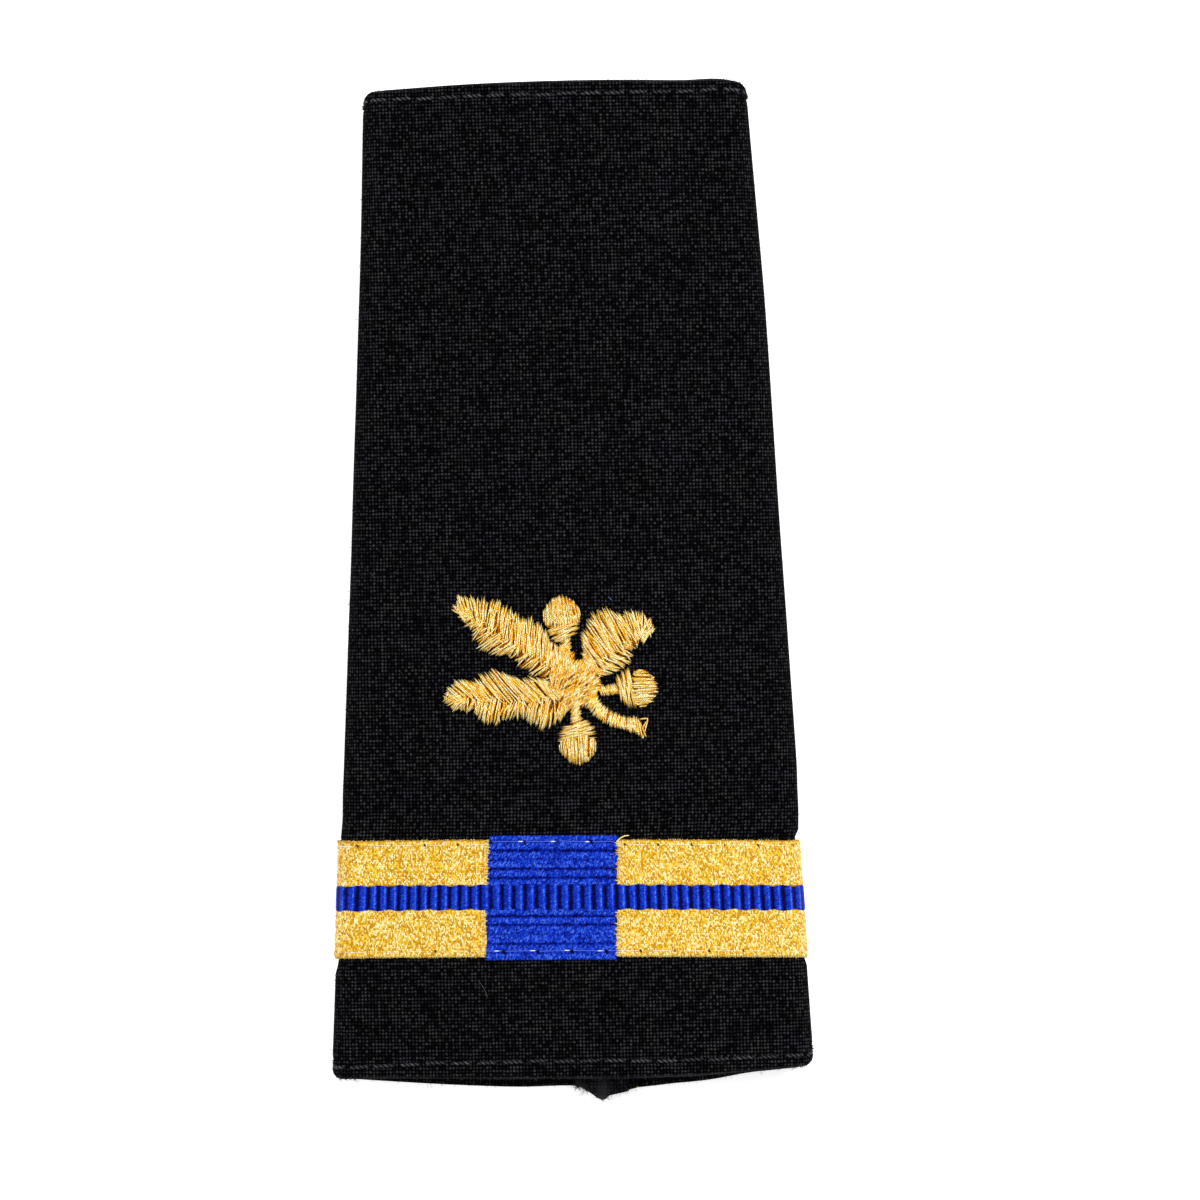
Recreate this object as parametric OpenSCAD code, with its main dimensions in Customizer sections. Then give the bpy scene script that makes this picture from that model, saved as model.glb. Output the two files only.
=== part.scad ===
// Slip-on shoulder mark, lying on its back: X across, Y towards the narrow mouth, Z up from the surface.

/* [Sleeve] */
// Length of the cloth tube along its side folds
sleeve_len = 104.7; // [95:0.1:125]
// Width across the side folds at the wide mouth
wide_w = 51.3; // [46:0.1:60]
// Width across the side folds at the narrow mouth
narrow_w = 40.7; // [38:0.1:50]
// Thickness of the cloth wall, both plies together
wall = 1; // [1:0.05:1.2]
// Outer radius of the side folds
fold_r = 2.7; // [2.6:0.05:3.6]
// Rise of the front above the side folds
crown_h = 2.4; // [2:0.05:5]
// Radius of the corners seen from above
corner_r = 0.7; // [0.4:0.1:2]
// How far the stripe draws the sides in
waist = 0.3; // [0:0.05:0.6]
// How far the sleeve bows to the right between the stripe and the narrow mouth
side_bow = 0.3; // [0:0.05:0.8]

/* [Mouths] */
// Depth of the turned-in hem at each mouth
hem_depth = 6; // [4:0.1:9]
// Extra thickness of the turned-in hem
hem_t = 0.2; // [0.1:0.05:0.25]
// How far the front's wide edge bows out
front_bow = 0.55; // [0.1:0.05:1.2]
// How far the back's wide edge bows out
back_bow = 1.8; // [0.6:0.05:2.2]
// How far the narrow edge bows out
narrow_bow = 0.5; // [0:0.05:1]
// Rise of each mouth's line from its left corner to its right corner
mouth_rise = 0.3; // [0:0.05:0.8]

/* [Back seam] */
// Offset of the back seam to the right of the middle, at the wide mouth
seam_x = 2.9; // [-4:0.1:5]
// Depth of the groove along the back seam
groove_d = 0.25; // [0.1:0.05:0.4]
// Width of the groove along the back seam
groove_w = 0.8; // [0.5:0.1:1.2]
// How far the seam's folded end pokes out past the back's edge
tip_out = 1.4; // [0.4:0.1:2.4]
// Width of the seam's folded end
tip_w = 4.4; // [3:0.1:6]

/* [Stripe] */
// Height of the stripe, along the sleeve
stripe_h = 12.7; // [9:0.1:16]
// Distance from the wide mouth to the stripe's middle
stripe_up = 18.25; // [17:0.05:24]
// Thickness of the gold lace
lace_t = 0.4; // [0.3:0.05:0.5]
// Turn of the stripe against the sleeve, in degrees, falling to the right
stripe_skew = 0.95; // [0:0.05:2]
// How far the stripe arches up in the middle
stripe_arch = 0.25; // [0:0.05:0.6]
// Width of the blue break
break_w = 13.8; // [8:0.1:20]
// Height of the blue break
break_h = 13.1; // [9:0.1:16.4]
// Middle of the blue break, to the right of the sleeve's middle
break_x = -1.9; // [-6:0.1:4]
// Spacing of the ribs that run along the blue break
break_pitch = 0.9; // [0.7:0.05:1.5]
// Height of the blue line
line_h = 2.7; // [1.6:0.1:5]
// Thickness of the blue line over its ribs
line_t = 0.3; // [0.2:0.05:0.4]
// Spacing of the ribs across the blue line
line_pitch = 1.05; // [0.9:0.05:2]
// Depth of the dips between the ribs, blue break and blue line alike
rib_dip = 0.12; // [0.05:0.01:0.15]

/* [Sprig] */
// Width of the whole embroidered sprig
sprig_w = 22.8; // [16:0.1:26]
// Distance from the stripe's middle up to where the leaves and twigs meet
sprig_up = 22.15; // [18:0.05:40]
// Where the leaves and twigs meet, to the right of the sleeve's middle
sprig_x = 1.8; // [-2:0.1:4]
// Height of the padded leaves above the cloth
leaf_h = 0.9; // [0.4:0.05:1.5]
// Height of the padded acorns above the cloth
acorn_h = 1.1; // [0.5:0.05:1.8]
// Height of the stem and twigs above the cloth
twig_h = 0.7; // [0.3:0.05:1.2]

/* [Clearances] */
// Gap between a trimming and what it is sewn on
seat_gap = 0.06; // [0.04:0.01:0.1]
// Gap between neighbouring ends of the trimmings
end_gap = 0.15; // [0.1:0.01:0.4]
// Gap between the lowest trimming and the surface below
floor_gap = 0.06; // [0.02:0.01:0.2]

/* [Hidden] */

black_cloth = [0.07, 0.07, 0.085];
gold_lace = [0.93, 0.75, 0.33];
royal_blue = [0.1, 0.2, 0.68];
gold_thread = [0.88, 0.68, 0.28];

// The side corners lie at wide_y and narrow_y. The whole length is centred on the origin.
reach_wide = back_bow + tip_out + 0.06;
wide_y = -(sleeve_len + narrow_bow - reach_wide) / 2;
narrow_y = wide_y + sleeve_len;
stripe_y = wide_y + stripe_up;
sprig_y = stripe_y + sprig_up;

// The back is lifted under the stripe, so that the trimmings there clear the surface.
stripe_lift = 2 * seat_gap + lace_t + line_t + floor_gap;
lift_margin = 1.2;
lift_run = 7;
lift_steps = 5;
bow_run = 24;
edge_run = 12;
hem_step = 0.8;
rim_run = 0.45;
bow_lean = 1.1;
crown_power = 3.5;

// Numbers of facets
rim_n = 4;
fold_n = 8;
front_n = 14;
body_n = 8;
break_cols = 4;

// Zones round the section, in order
BACK = 0;
RIGHT = 1;
FRONT = 2;
LEFT = 3;

// A leaf's outline: place along the midrib, reach to its left and reach to its right, walking from the
// base to the point. Reaches are shares of the sprig's width.
upper_rows = [
    [0.00, 0.010, 0.015], [0.08, 0.024, 0.066], [0.15, 0.036, 0.100], [0.22, 0.050, 0.108],
    [0.29, 0.055, 0.104], [0.36, 0.062, 0.122], [0.43, 0.058, 0.150], [0.50, 0.046, 0.154],
    [0.56, 0.068, 0.150], [0.61, 0.090, 0.120], [0.68, 0.097, 0.132], [0.75, 0.083, 0.140],
    [0.81, 0.047, 0.118], [0.88, 0.038, 0.094], [0.95, 0.032, 0.080], [1.00, 0.012, 0.046]
];
lower_rows = [
    [0.00, 0.010, 0.010], [0.08, 0.026, 0.014], [0.15, 0.060, 0.020], [0.20, 0.118, 0.028],
    [0.28, 0.140, 0.050], [0.36, 0.136, 0.078], [0.44, 0.116, 0.094], [0.50, 0.094, 0.110],
    [0.57, 0.106, 0.134], [0.65, 0.116, 0.145], [0.71, 0.110, 0.138], [0.77, 0.090, 0.107],
    [0.82, 0.060, 0.084], [0.88, 0.066, 0.086], [0.94, 0.066, 0.070], [1.00, 0.018, 0.020]
];
right_rows = [
    [0.00, 0.018, 0.018], [0.10, 0.054, 0.036], [0.20, 0.104, 0.046], [0.30, 0.155, 0.060],
    [0.40, 0.182, 0.074], [0.50, 0.202, 0.082], [0.60, 0.206, 0.074], [0.67, 0.188, 0.046],
    [0.73, 0.136, 0.040], [0.80, 0.120, 0.041], [0.88, 0.112, 0.040], [0.95, 0.078, 0.032],
    [1.00, 0.046, 0.014]
];
// An acorn's cup and nut in the same columns, symmetrical
cup_rows = [[0.00, 0.036, 0.036], [0.25, 0.056, 0.056], [0.60, 0.074, 0.074], [1.00, 0.082, 0.082]];
nut_rows = [
    [0.00, 0.084, 0.084], [0.25, 0.088, 0.088], [0.50, 0.081, 0.081], [0.75, 0.062, 0.062],
    [0.92, 0.038, 0.038], [1.00, 0.014, 0.014]
];
twig_rows = [[0.00, 0.020, 0.020], [0.50, 0.021, 0.021], [1.00, 0.024, 0.024]];
stem_rows = [
    [0.00, 0.012, 0.030], [0.12, 0.036, 0.030], [0.30, 0.034, 0.025], [0.50, 0.032, 0.025],
    [0.75, 0.032, 0.026], [0.90, 0.038, 0.029], [1.00, 0.050, 0.044]
];
// Heights across a padded piece, as shares of its own height: places from -1, left, to 1, right
leaf_form = [[-1, 0.3], [-0.6, 1], [0, 0.78], [0.6, 1], [1, 0.3]];
round_form = [[-1, 0.3], [-0.6, 0.86], [0, 1], [0.6, 0.86], [1, 0.3]];

function lerp(a, b, t) = a + (b - a) * t;
function smooth(t) = let (c = min(1, max(0, t))) c * c * (3 - 2 * c);
function flat(lists) = [for (list = lists) each list];
function sorted(list) =
    len(list) < 2 ? list :
    let (pivot = list[floor(len(list) / 2)])
    concat(
        sorted([for (x = list) if (x < pivot) x]),
        [pivot],
        sorted([for (x = list) if (x > pivot) x])
    );

// Form of the sleeve at one place along it
function near_stripe(y) = smooth((stripe_h / 2 + lift_margin + lift_run - abs(y - stripe_y)) / lift_run);
function half_w(y) = lerp(wide_w, narrow_w, (y - wide_y) / sleeve_len) / 2 - waist * near_stripe(y);
function side_shift(y) =
    side_bow * smooth((y - stripe_y - stripe_h / 2 - lift_margin) / lift_run) * smooth((narrow_y - y) / bow_run);
function lift(y) = stripe_lift * near_stripe(y);
function radius(y) = fold_r - lift(y) / 2;
function crown(u) = crown_h * pow(1 - pow(min(1, abs(u)), crown_power), 2);

// A point of the skin. Its place round the section is [zone, share of the flat half-width or fold angle].
function skin(p, y, out) =
    let (r = radius(y), b = half_w(y) - r, low = lift(y), mid = side_shift(y))
    p[0] == BACK ? [mid + p[1] * b, y, low - out] :
    p[0] == RIGHT ? [mid + b + (r + out) * cos(p[1]), y, low + r + (r + out) * sin(p[1])] :
    p[0] == FRONT ? [mid + p[1] * b, y, low + 2 * r + crown(p[1]) + out] :
    [mid - b - (r + out) * cos(p[1]), y, low + r + (r + out) * sin(p[1])];
function face_z(x, y) = 2 * fold_r + crown((x - side_shift(y)) / (half_w(y) - fold_r));

// Places round the section. The seam's groove and the folded end have places of their own.
flat_w = wide_w / 2 - fold_r;
seam_u = seam_x / flat_w;
groove_u = groove_w / 2 / flat_w;
tip_u = tip_w / 2 / flat_w;
back_places = [
    for (t = [-0.88, -0.6, -0.3]) [BACK, lerp(seam_u - tip_u, -1, -t)],
    for (t = [-tip_u, -groove_u, 0, groove_u, tip_u]) [BACK, seam_u + t],
    for (t = [0.3, 0.6, 0.88]) [BACK, lerp(seam_u + tip_u, 1, t)]
];
right_places = [for (i = [0:fold_n]) [RIGHT, -90 + 180 * i / fold_n]];
front_places = [for (i = [1:front_n - 1]) [FRONT, cos(180 * i / front_n)]];
left_places = [for (i = [0:fold_n]) [LEFT, 90 - 180 * i / fold_n]];
around = concat(back_places, right_places, front_places, left_places);

// How far each mouth's edge lies out from the straight line between its corners
function side_share(p, w) =
    p[0] == BACK || p[0] == FRONT ? p[1] * (w - fold_r) / w :
    (p[0] == RIGHT ? 1 : -1) * (w - fold_r + fold_r * cos(p[1])) / w;
function facing(p) = p[0] == BACK ? 0 : p[0] == FRONT ? 1 : (1 + sin(p[1])) / 2;
function corner_cut(v, w) =
    let (d = corner_r - w * (1 - abs(v)))
    d > 0 ? corner_r - sqrt(corner_r * corner_r - d * d) : 0;
function tip_form(p) = p[0] == BACK ? tip_out * max(0, 1 - abs(p[1] - seam_u) / tip_u) : 0;
function wide_shift(p) =
    let (v = side_share(p, wide_w / 2), bow = lerp(back_bow, front_bow, facing(p)))
    mouth_rise * v / 2 + corner_cut(v, wide_w / 2) - tip_form(p)
    - bow * (1 - v * v) * (1 + lerp(0.3, bow_lean, facing(p)) * v);
function narrow_shift(p) =
    let (v = side_share(p, narrow_w / 2))
    mouth_rise * v / 2 - corner_cut(v, narrow_w / 2) + narrow_bow * (1 - v * v) * lerp(0.5, 1, facing(p));
function station_y(p, s) =
    wide_y + s + wide_shift(p) * (1 - smooth(s / edge_run))
    + narrow_shift(p) * (1 - smooth((sleeve_len - s) / edge_run));

// Places along the sleeve, as distances from the wide mouth
lift_marks = [
    for (side = [-1, 1]) for (i = [0:lift_steps])
        stripe_up + side * (stripe_h / 2 + lift_margin + lift_run * i / lift_steps)
];
body_from = max(lift_marks);
body_marks = [for (i = [1:body_n]) lerp(body_from, sleeve_len, i / (body_n + 1))];
outer_marks = sorted(concat([stripe_up], lift_marks, body_marks));
hem_marks = [hem_depth, hem_depth + hem_step, sleeve_len - hem_depth - hem_step, sleeve_len - hem_depth];
inner_marks = sorted(concat([stripe_up], lift_marks, hem_marks, body_marks));

function thickness(s) =
    let (d = min(s, sleeve_len - s)) wall + hem_t * smooth((hem_depth + hem_step - d) / hem_step);
function groove(p, out) =
    p[0] == BACK && out == 0 ? groove_d * max(0, 1 - abs(p[1] - seam_u) / groove_u) : 0;
function sleeve_ring(s, out) = [for (p = around) skin(p, station_y(p, s), out - groove(p, out))];
// A rounded rim: [distance in from the edge, out] from the outside to the inside
rim = [
    for (i = [0:rim_n])
        [rim_run * (1 - sin(180 * i / rim_n)), -(wall + hem_t) * (1 - cos(180 * i / rim_n)) / 2]
];
sleeve_rings = concat(
    [for (i = [rim_n:-1:0]) sleeve_ring(rim[i][0], rim[i][1])],
    [for (s = outer_marks) sleeve_ring(s, 0)],
    [for (i = [0:rim_n]) sleeve_ring(sleeve_len - rim[i][0], rim[i][1])],
    [for (i = [len(inner_marks) - 1:-1:0]) sleeve_ring(inner_marks[i], -thickness(inner_marks[i]))]
);

// Two triangles for the quadrilateral a, b, c, d
function quad(a, b, c, d) = [[a, b, c], [a, c, d]];
function side_faces(rings, n, steps) = [
    for (i = [0:steps - 1]) for (k = [0:n - 1])
        let (j = (i + 1) % rings, m = (k + 1) % n)
        each quad(i * n + k, j * n + k, j * n + m, i * n + m)
];
function cap_faces(first, half) = [
    for (k = [0:half - 2]) each quad(first + k, first + k + 1, first + 2 * half - 2 - k, first + 2 * half - 1 - k)
];
function turned(faces) = [for (f = faces) [f[2], f[1], f[0]]];

// A tube whose rings close on themselves
module closed_tube(rings) {
    n = len(rings[0]);
    polyhedron(points = flat(rings), faces = side_faces(len(rings), n, len(rings)), convexity = 8);
}

// A slab whose rings each go along its upper side and back along its lower side
module slab(rings) {
    n = len(rings[0]);
    sides = side_faces(len(rings), n, len(rings) - 1);
    ends = concat(cap_faces(0, n / 2), turned(cap_faces((len(rings) - 1) * n, n / 2)));
    polyhedron(points = flat(rings), faces = concat(sides, ends), convexity = 8);
}

// The stripe's middle line, and a point of a trimming that lies along it
function stripe_line(x) =
    stripe_y - x * tan(stripe_skew) + stripe_arch * (1 - pow(x / half_w(stripe_y), 2));
function trim_point(p, dy, out) = skin(p, stripe_line(skin(p, stripe_y, 0)[0]) + dy, out);
stripe_flat = half_w(stripe_y) - radius(stripe_y);
break_l = (break_x - break_w / 2) / stripe_flat;
break_r = (break_x + break_w / 2) / stripe_flat;
end_u = end_gap / stripe_flat;

// Lace: its section as [place across, share of the thickness], along the top and back along the underside
lace_edge = 0.3;
lace_form = [
    [-stripe_h / 2, 0.55], [lace_edge - stripe_h / 2, 1], [stripe_h / 2 - lace_edge, 1], [stripe_h / 2, 0.55],
    [stripe_h / 2, 0], [stripe_h / 2 - lace_edge, 0], [lace_edge - stripe_h / 2, 0], [-stripe_h / 2, 0]
];
function lace_rings(places) = [
    for (p = places) [for (f = lace_form) trim_point(p, f[0], seat_gap + lace_t * f[1])]
];
lace_right_places = concat(
    [[BACK, seam_u + groove_u]],
    [for (p = back_places) if (p[1] > seam_u + groove_u + end_u) p],
    right_places,
    [for (p = front_places) if (p[1] > break_r + 2 * end_u) p],
    [[FRONT, break_r + end_u]]
);
lace_left_places = concat(
    [[FRONT, break_l - end_u]],
    [for (p = front_places) if (p[1] < break_l - 2 * end_u) p],
    left_places,
    [for (p = back_places) if (p[1] < seam_u - groove_u - end_u) p],
    [[BACK, seam_u - groove_u]]
);

// Blue break: ribs run along the stripe, and the two cut edges wander a little
break_wave = 0.12;
break_ribs = round(break_h / break_pitch);
function wander(dy, phase) = break_wave * sin(dy * 75 + phase) / stripe_flat;
function break_point(t, dy, out) =
    trim_point([FRONT, lerp(break_l + wander(dy, 0), break_r + wander(dy, 140), t)], dy, out);
break_rows = [
    for (i = [0:2 * break_ribs])
        [lerp(-0.5, 0.5, i / 2 / break_ribs) * break_h, lace_t - (i % 2 == 0 ? rib_dip : 0)]
];
break_rings = [
    for (c = [0:break_cols]) concat(
        [for (r = break_rows) break_point(c / break_cols, r[0], seat_gap + r[1])],
        [for (i = [2 * break_ribs:-1:0]) break_point(c / break_cols, break_rows[i][0], seat_gap)]
    )
];

// Blue line: a ribbed ribbon right round the sleeve, from the seam to the seam
back_right = (1 - seam_u) * stripe_flat;
back_left = (1 + seam_u) * stripe_flat;
fold_len = PI * (radius(stripe_y) + lace_t);
front_len = 2 * stripe_flat;
line_len = back_right + fold_len + front_len + fold_len + back_left - groove_w;
line_ribs = floor(line_len / line_pitch);
function place_at(l) =
    l < back_right ? [BACK, seam_u + l / stripe_flat] :
    l < back_right + fold_len ? [RIGHT, -90 + 180 * (l - back_right) / fold_len] :
    l < back_right + fold_len + front_len ? [FRONT, 1 - (l - back_right - fold_len) / stripe_flat] :
    l < back_right + 2 * fold_len + front_len ?
        [LEFT, 90 - 180 * (l - back_right - fold_len - front_len) / fold_len] :
    [BACK, -1 + (l - back_right - 2 * fold_len - front_len) / stripe_flat];
// Within one rib: [share of the pitch, share of the dip]
rib_form = [[0, 1], [0.3, 0], [0.7, 0]];
line_seat = 2 * seat_gap + lace_t;
function line_ring(l, dip) =
    let (p = place_at(groove_w / 2 + l), h = line_h / 2 - dip / 2)
    [for (f = [[-h, line_t - dip], [h, line_t - dip], [h, 0], [-h, 0]]) trim_point(p, f[0], line_seat + f[1])];
line_rings = concat(
    [
        for (i = [0:line_ribs - 1]) for (f = rib_form)
            line_ring((i + f[0]) * line_len / line_ribs, rib_dip * f[1])
    ],
    [line_ring(line_len, rib_dip)]
);

// Padded embroidery: rings across a bent midrib, from its base to its point, in shares of the sprig's width
function midrib(from, to, bend, t) =
    let (d = to - from, n = [-d[1], d[0]]) from + d * t + n * bend * 4 * t * (1 - t);
function midrib_left(from, to, bend, t) =
    let (d = to - from, n = [-d[1], d[0]], way = d + n * bend * 4 * (1 - 2 * t)) [-way[1], way[0]] / norm(way);
function padded_point(at, rise) =
    let (x = side_shift(sprig_y) + sprig_x + at[0] * sprig_w, y = sprig_y + at[1] * sprig_w)
    [x, y, face_z(x, y) + seat_gap + rise];
function padded_ring(from, to, bend, row, form, height) =
    let (
        mid = midrib(from, to, bend, row[0]),
        left = midrib_left(from, to, bend, row[0]),
        full = height * (1 - 0.45 * pow(abs(2 * row[0] - 1), 4)),
        spots = [for (f = form) mid - left * f[0] * (f[0] < 0 ? row[1] : row[2])]
    )
    concat(
        [for (i = [0:len(form) - 1]) padded_point(spots[i], full * form[i][1])],
        [for (i = [len(form) - 1:-1:0]) padded_point(spots[i], 0)]
    );
module padded(from, to, bend, rows, form, height) {
    slab([for (row = rows) padded_ring(from, to, bend, row, form, height)]);
}

// An acorn from its cup's foot in a direction: the cup, then the nut, as shares of the sprig's width
cup_len = 0.075;
nut_len = 0.12;
nut_gap = end_gap / sprig_w;
twig_stop = 1.6 * nut_gap;
module cup(foot, turn) {
    way = [cos(turn), sin(turn)];
    color(gold_thread) padded(foot, foot + way * cup_len, 0, cup_rows, round_form, acorn_h);
}
module nut(foot, turn) {
    way = [cos(turn), sin(turn)];
    start = foot + way * (cup_len + nut_gap);
    color(gold_thread) padded(start, start + way * nut_len, 0, nut_rows, round_form, acorn_h);
}
// A twig, which stops short of the acorn's foot
module twig(from, foot) {
    way = (foot - from) / norm(foot - from);
    color(gold_thread) padded(from, foot - way * twig_stop, 0, twig_rows, round_form, twig_h);
}
top_foot = [-0.088, 0.243];
top_turn = 97;
right_foot = [0.155, 0.008];
right_turn = -1;
bottom_foot = [-0.040, -0.143];
bottom_turn = -88;

module sleeve() {
    color(black_cloth) closed_tube(sleeve_rings);
}
module lace_left() {
    color(gold_lace) slab(lace_rings(lace_left_places));
}
module lace_right() {
    color(gold_lace) slab(lace_rings(lace_right_places));
}
module blue_break() {
    color(royal_blue) slab(break_rings);
}
module blue_line() {
    color(royal_blue) slab(line_rings);
}
module leaf_upper() {
    color(gold_thread) padded([-0.040, 0.030], [-0.613, 0.403], 0.01, upper_rows, leaf_form, leaf_h);
}
module leaf_lower() {
    color(gold_thread) padded([-0.055, -0.020], [-0.653, -0.011], 0.03, lower_rows, leaf_form, leaf_h);
}
module leaf_right() {
    color(gold_thread) padded([0.012, 0.048], [0.336, 0.283], 0.05, right_rows, leaf_form, leaf_h);
}
module stem() {
    color(gold_thread) padded([0.002, 0.010], [0.282, -0.180], -0.18, stem_rows, round_form, twig_h);
}
module twig_top() {
    twig([-0.079, 0.196], top_foot);
}
module twig_right() {
    twig([0.060, 0.000], right_foot);
}
module twig_bottom() {
    twig([-0.046, -0.060], bottom_foot);
}
module cup_top() {
    cup(top_foot, top_turn);
}
module cup_right() {
    cup(right_foot, right_turn);
}
module cup_bottom() {
    cup(bottom_foot, bottom_turn);
}
module nut_top() {
    nut(top_foot, top_turn);
}
module nut_right() {
    nut(right_foot, right_turn);
}
module nut_bottom() {
    nut(bottom_foot, bottom_turn);
}

sleeve();
lace_left();
lace_right();
blue_break();
blue_line();
leaf_upper();
leaf_lower();
leaf_right();
stem();
twig_top();
twig_right();
twig_bottom();
cup_top();
cup_right();
cup_bottom();
nut_top();
nut_right();
nut_bottom();
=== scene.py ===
# Slip-on shoulder mark: a black woven sleeve, gold lace with a blue break and a ribbed blue line, and an oak
# sprig. It lies on its back, Y towards the narrow mouth, Z up. Lengths in the dictionaries are millimetres.
import math

import bpy
import numpy as np
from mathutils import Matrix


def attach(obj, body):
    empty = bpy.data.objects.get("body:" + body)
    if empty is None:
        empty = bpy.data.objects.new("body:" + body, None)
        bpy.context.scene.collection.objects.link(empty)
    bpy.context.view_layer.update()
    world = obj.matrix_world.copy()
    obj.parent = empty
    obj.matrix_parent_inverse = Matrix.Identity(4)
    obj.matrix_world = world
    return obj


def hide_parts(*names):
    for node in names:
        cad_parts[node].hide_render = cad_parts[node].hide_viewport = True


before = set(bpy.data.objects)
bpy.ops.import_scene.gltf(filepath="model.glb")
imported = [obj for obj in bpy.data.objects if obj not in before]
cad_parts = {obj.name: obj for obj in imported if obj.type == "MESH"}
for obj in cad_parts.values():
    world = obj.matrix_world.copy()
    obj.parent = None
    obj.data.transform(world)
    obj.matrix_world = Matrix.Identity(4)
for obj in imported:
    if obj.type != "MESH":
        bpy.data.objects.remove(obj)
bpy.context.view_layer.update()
mm = 0.001
chance = np.random.default_rng(7)
print("frame loaded")

view = {
    "distance": 900.0, "aimHeight": 4.0, "pixelsPerMm": 9.41, "imageWidth": 1200, "sensor": 36.0,
    "across": 3.79, "along": -0.85, "turn": -1.06,
}


def addObject(name, data):
    made = bpy.data.objects.new(name, data)
    bpy.context.scene.collection.objects.link(made)
    return made


def makeCamera():
    data = bpy.data.cameras.new("overhead")
    data.sensor_width = view["sensor"]
    data.lens = view["sensor"] * view["distance"] * view["pixelsPerMm"] / view["imageWidth"]
    data.clip_end = 10
    camera = addObject("overhead", data)
    camera.location = (view["across"] * mm, view["along"] * mm, (view["distance"] + view["aimHeight"]) * mm)
    camera.rotation_euler = (0, 0, math.radians(view["turn"]))
    bpy.context.scene.camera = camera


makeCamera()

light = {
    "sky": 0.5, "keyPlace": (0.55, 0.35, 0.75), "keyPower": 7.4, "keySize": 0.28,
    "fillPlace": (-0.6, 0.1, 0.7), "fillPower": 3.4, "fillSize": 0.35,
    "floor": (0.93, 0.93, 0.93, 1), "floorGlow": 0.6, "floorSize": 3.0, "floorDrop": 0.03,
}


def addLamp(name):
    data = bpy.data.lights.new(name, "AREA")
    data.size = light[name + "Size"]
    data.energy = light[name + "Power"]
    lamp = addObject(name, data)
    lamp.location = light[name + "Place"]
    x, y, z = light[name + "Place"]
    lamp.rotation_euler = (math.atan2(math.hypot(x, y), z), 0, math.atan2(x, -y))


def makeFloor():  # seen from below the floor is clear, so that the underside shows
    half, low = light["floorSize"] / 2, -light["floorDrop"] * mm
    mesh = bpy.data.meshes.new("floor")
    corners = [(-half, -half, low), (half, -half, low), (half, half, low), (-half, half, low)]
    mesh.from_pydata(corners, [], [(0, 1, 2, 3)])
    paper = bpy.data.materials.new("paleFloor")
    paper.use_nodes = True
    tree = paper.node_tree
    shader = tree.nodes["Principled BSDF"]
    shader.inputs["Base Color"].default_value = light["floor"]
    shader.inputs["Roughness"].default_value = 0.9
    shader.inputs["Specular IOR Level"].default_value = 0.0
    shader.inputs["Emission Color"].default_value = (1, 1, 1, 1)
    shader.inputs["Emission Strength"].default_value = light["floorGlow"]
    mix, clear = tree.nodes.new("ShaderNodeMixShader"), tree.nodes.new("ShaderNodeBsdfTransparent")
    tree.links.new(tree.nodes.new("ShaderNodeNewGeometry").outputs["Backfacing"], mix.inputs[0])
    tree.links.new(shader.outputs[0], mix.inputs[1])
    tree.links.new(clear.outputs[0], mix.inputs[2])
    tree.links.new(mix.outputs[0], tree.nodes["Material Output"].inputs["Surface"])
    mesh.materials.append(paper)
    floor = addObject("floor", mesh)


def makeStudio():
    scene = bpy.context.scene
    scene.view_settings.view_transform = "Standard"
    scene.world = bpy.data.worlds.new("softLight")
    scene.world.use_nodes = True
    sky = scene.world.node_tree.nodes["Background"]
    sky.inputs["Strength"].default_value = light["sky"]
    sky.inputs["Color"].default_value = (1, 1, 1, 1)
    addLamp("key")
    addLamp("fill")
    makeFloor()


makeStudio()
print("camera and light ready")


def paint(red, green, blue):  # screen colour, 0 to 255, to the shader's linear colour
    shares = np.array([red, green, blue]) / 255
    linear = np.where(shares < 0.04045, shares / 12.92, ((shares + 0.055) / 1.055) ** 2.4)
    return (*linear.tolist(), 1.0)


def feed(socket, value):
    if isinstance(value, bpy.types.NodeSocket):
        socket.id_data.links.new(value, socket)
    else:
        socket.default_value = value


def addNode(tree, kind, given=None, **settings):  # given: its inputs, by name or number
    made = tree.nodes.new("ShaderNode" + kind)
    for key, value in settings.items():
        setattr(made, key, value)
    for key, value in (given or {}).items():
        feed(made.inputs[key], value)
    return made


def treeOf(*values):
    return next(value.id_data for value in values if isinstance(value, bpy.types.NodeSocket))


def calc(operation, *values):
    return addNode(treeOf(*values), "Math", dict(enumerate(values)), operation=operation).outputs[0]


def times(value, *others):
    for other in others:
        value = calc("MULTIPLY", value, other)
    return value


def scaled(value, factor, offset):
    return calc("MULTIPLY_ADD", value, factor, offset)


def ridges(value):  # round humps, one for each whole step of the value
    return calc("ABSOLUTE", calc("SINE", times(value, math.pi)))


def blendColours(share, first, second, way="MIX"):
    given = {0: share, 6: first, 7: second}
    return addNode(treeOf(share, first, second), "Mix", given, data_type="RGBA", blend_type=way).outputs[2]


def colourRamp(share, stops):
    made = addNode(share.id_data, "ValToRGB", {0: share})
    while len(made.color_ramp.elements) < len(stops):
        made.color_ramp.elements.new(0.5)
    for element, (place, colour) in zip(made.color_ramp.elements, stops):
        element.position = place
        element.color = colour
    return made.outputs[0]


def startGroup(name, values, results):
    tree = bpy.data.node_groups.new(name, "ShaderNodeTree")
    tree.interface.new_socket(name="Vector", in_out="INPUT", socket_type="NodeSocketVector")
    for label in values:
        tree.interface.new_socket(name=label, in_out="INPUT", socket_type="NodeSocketFloat")
    for label in results:
        tree.interface.new_socket(name=label, in_out="OUTPUT", socket_type="NodeSocketFloat")
    return tree, tree.nodes.new("NodeGroupInput").outputs, tree.nodes.new("NodeGroupOutput").inputs


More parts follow.
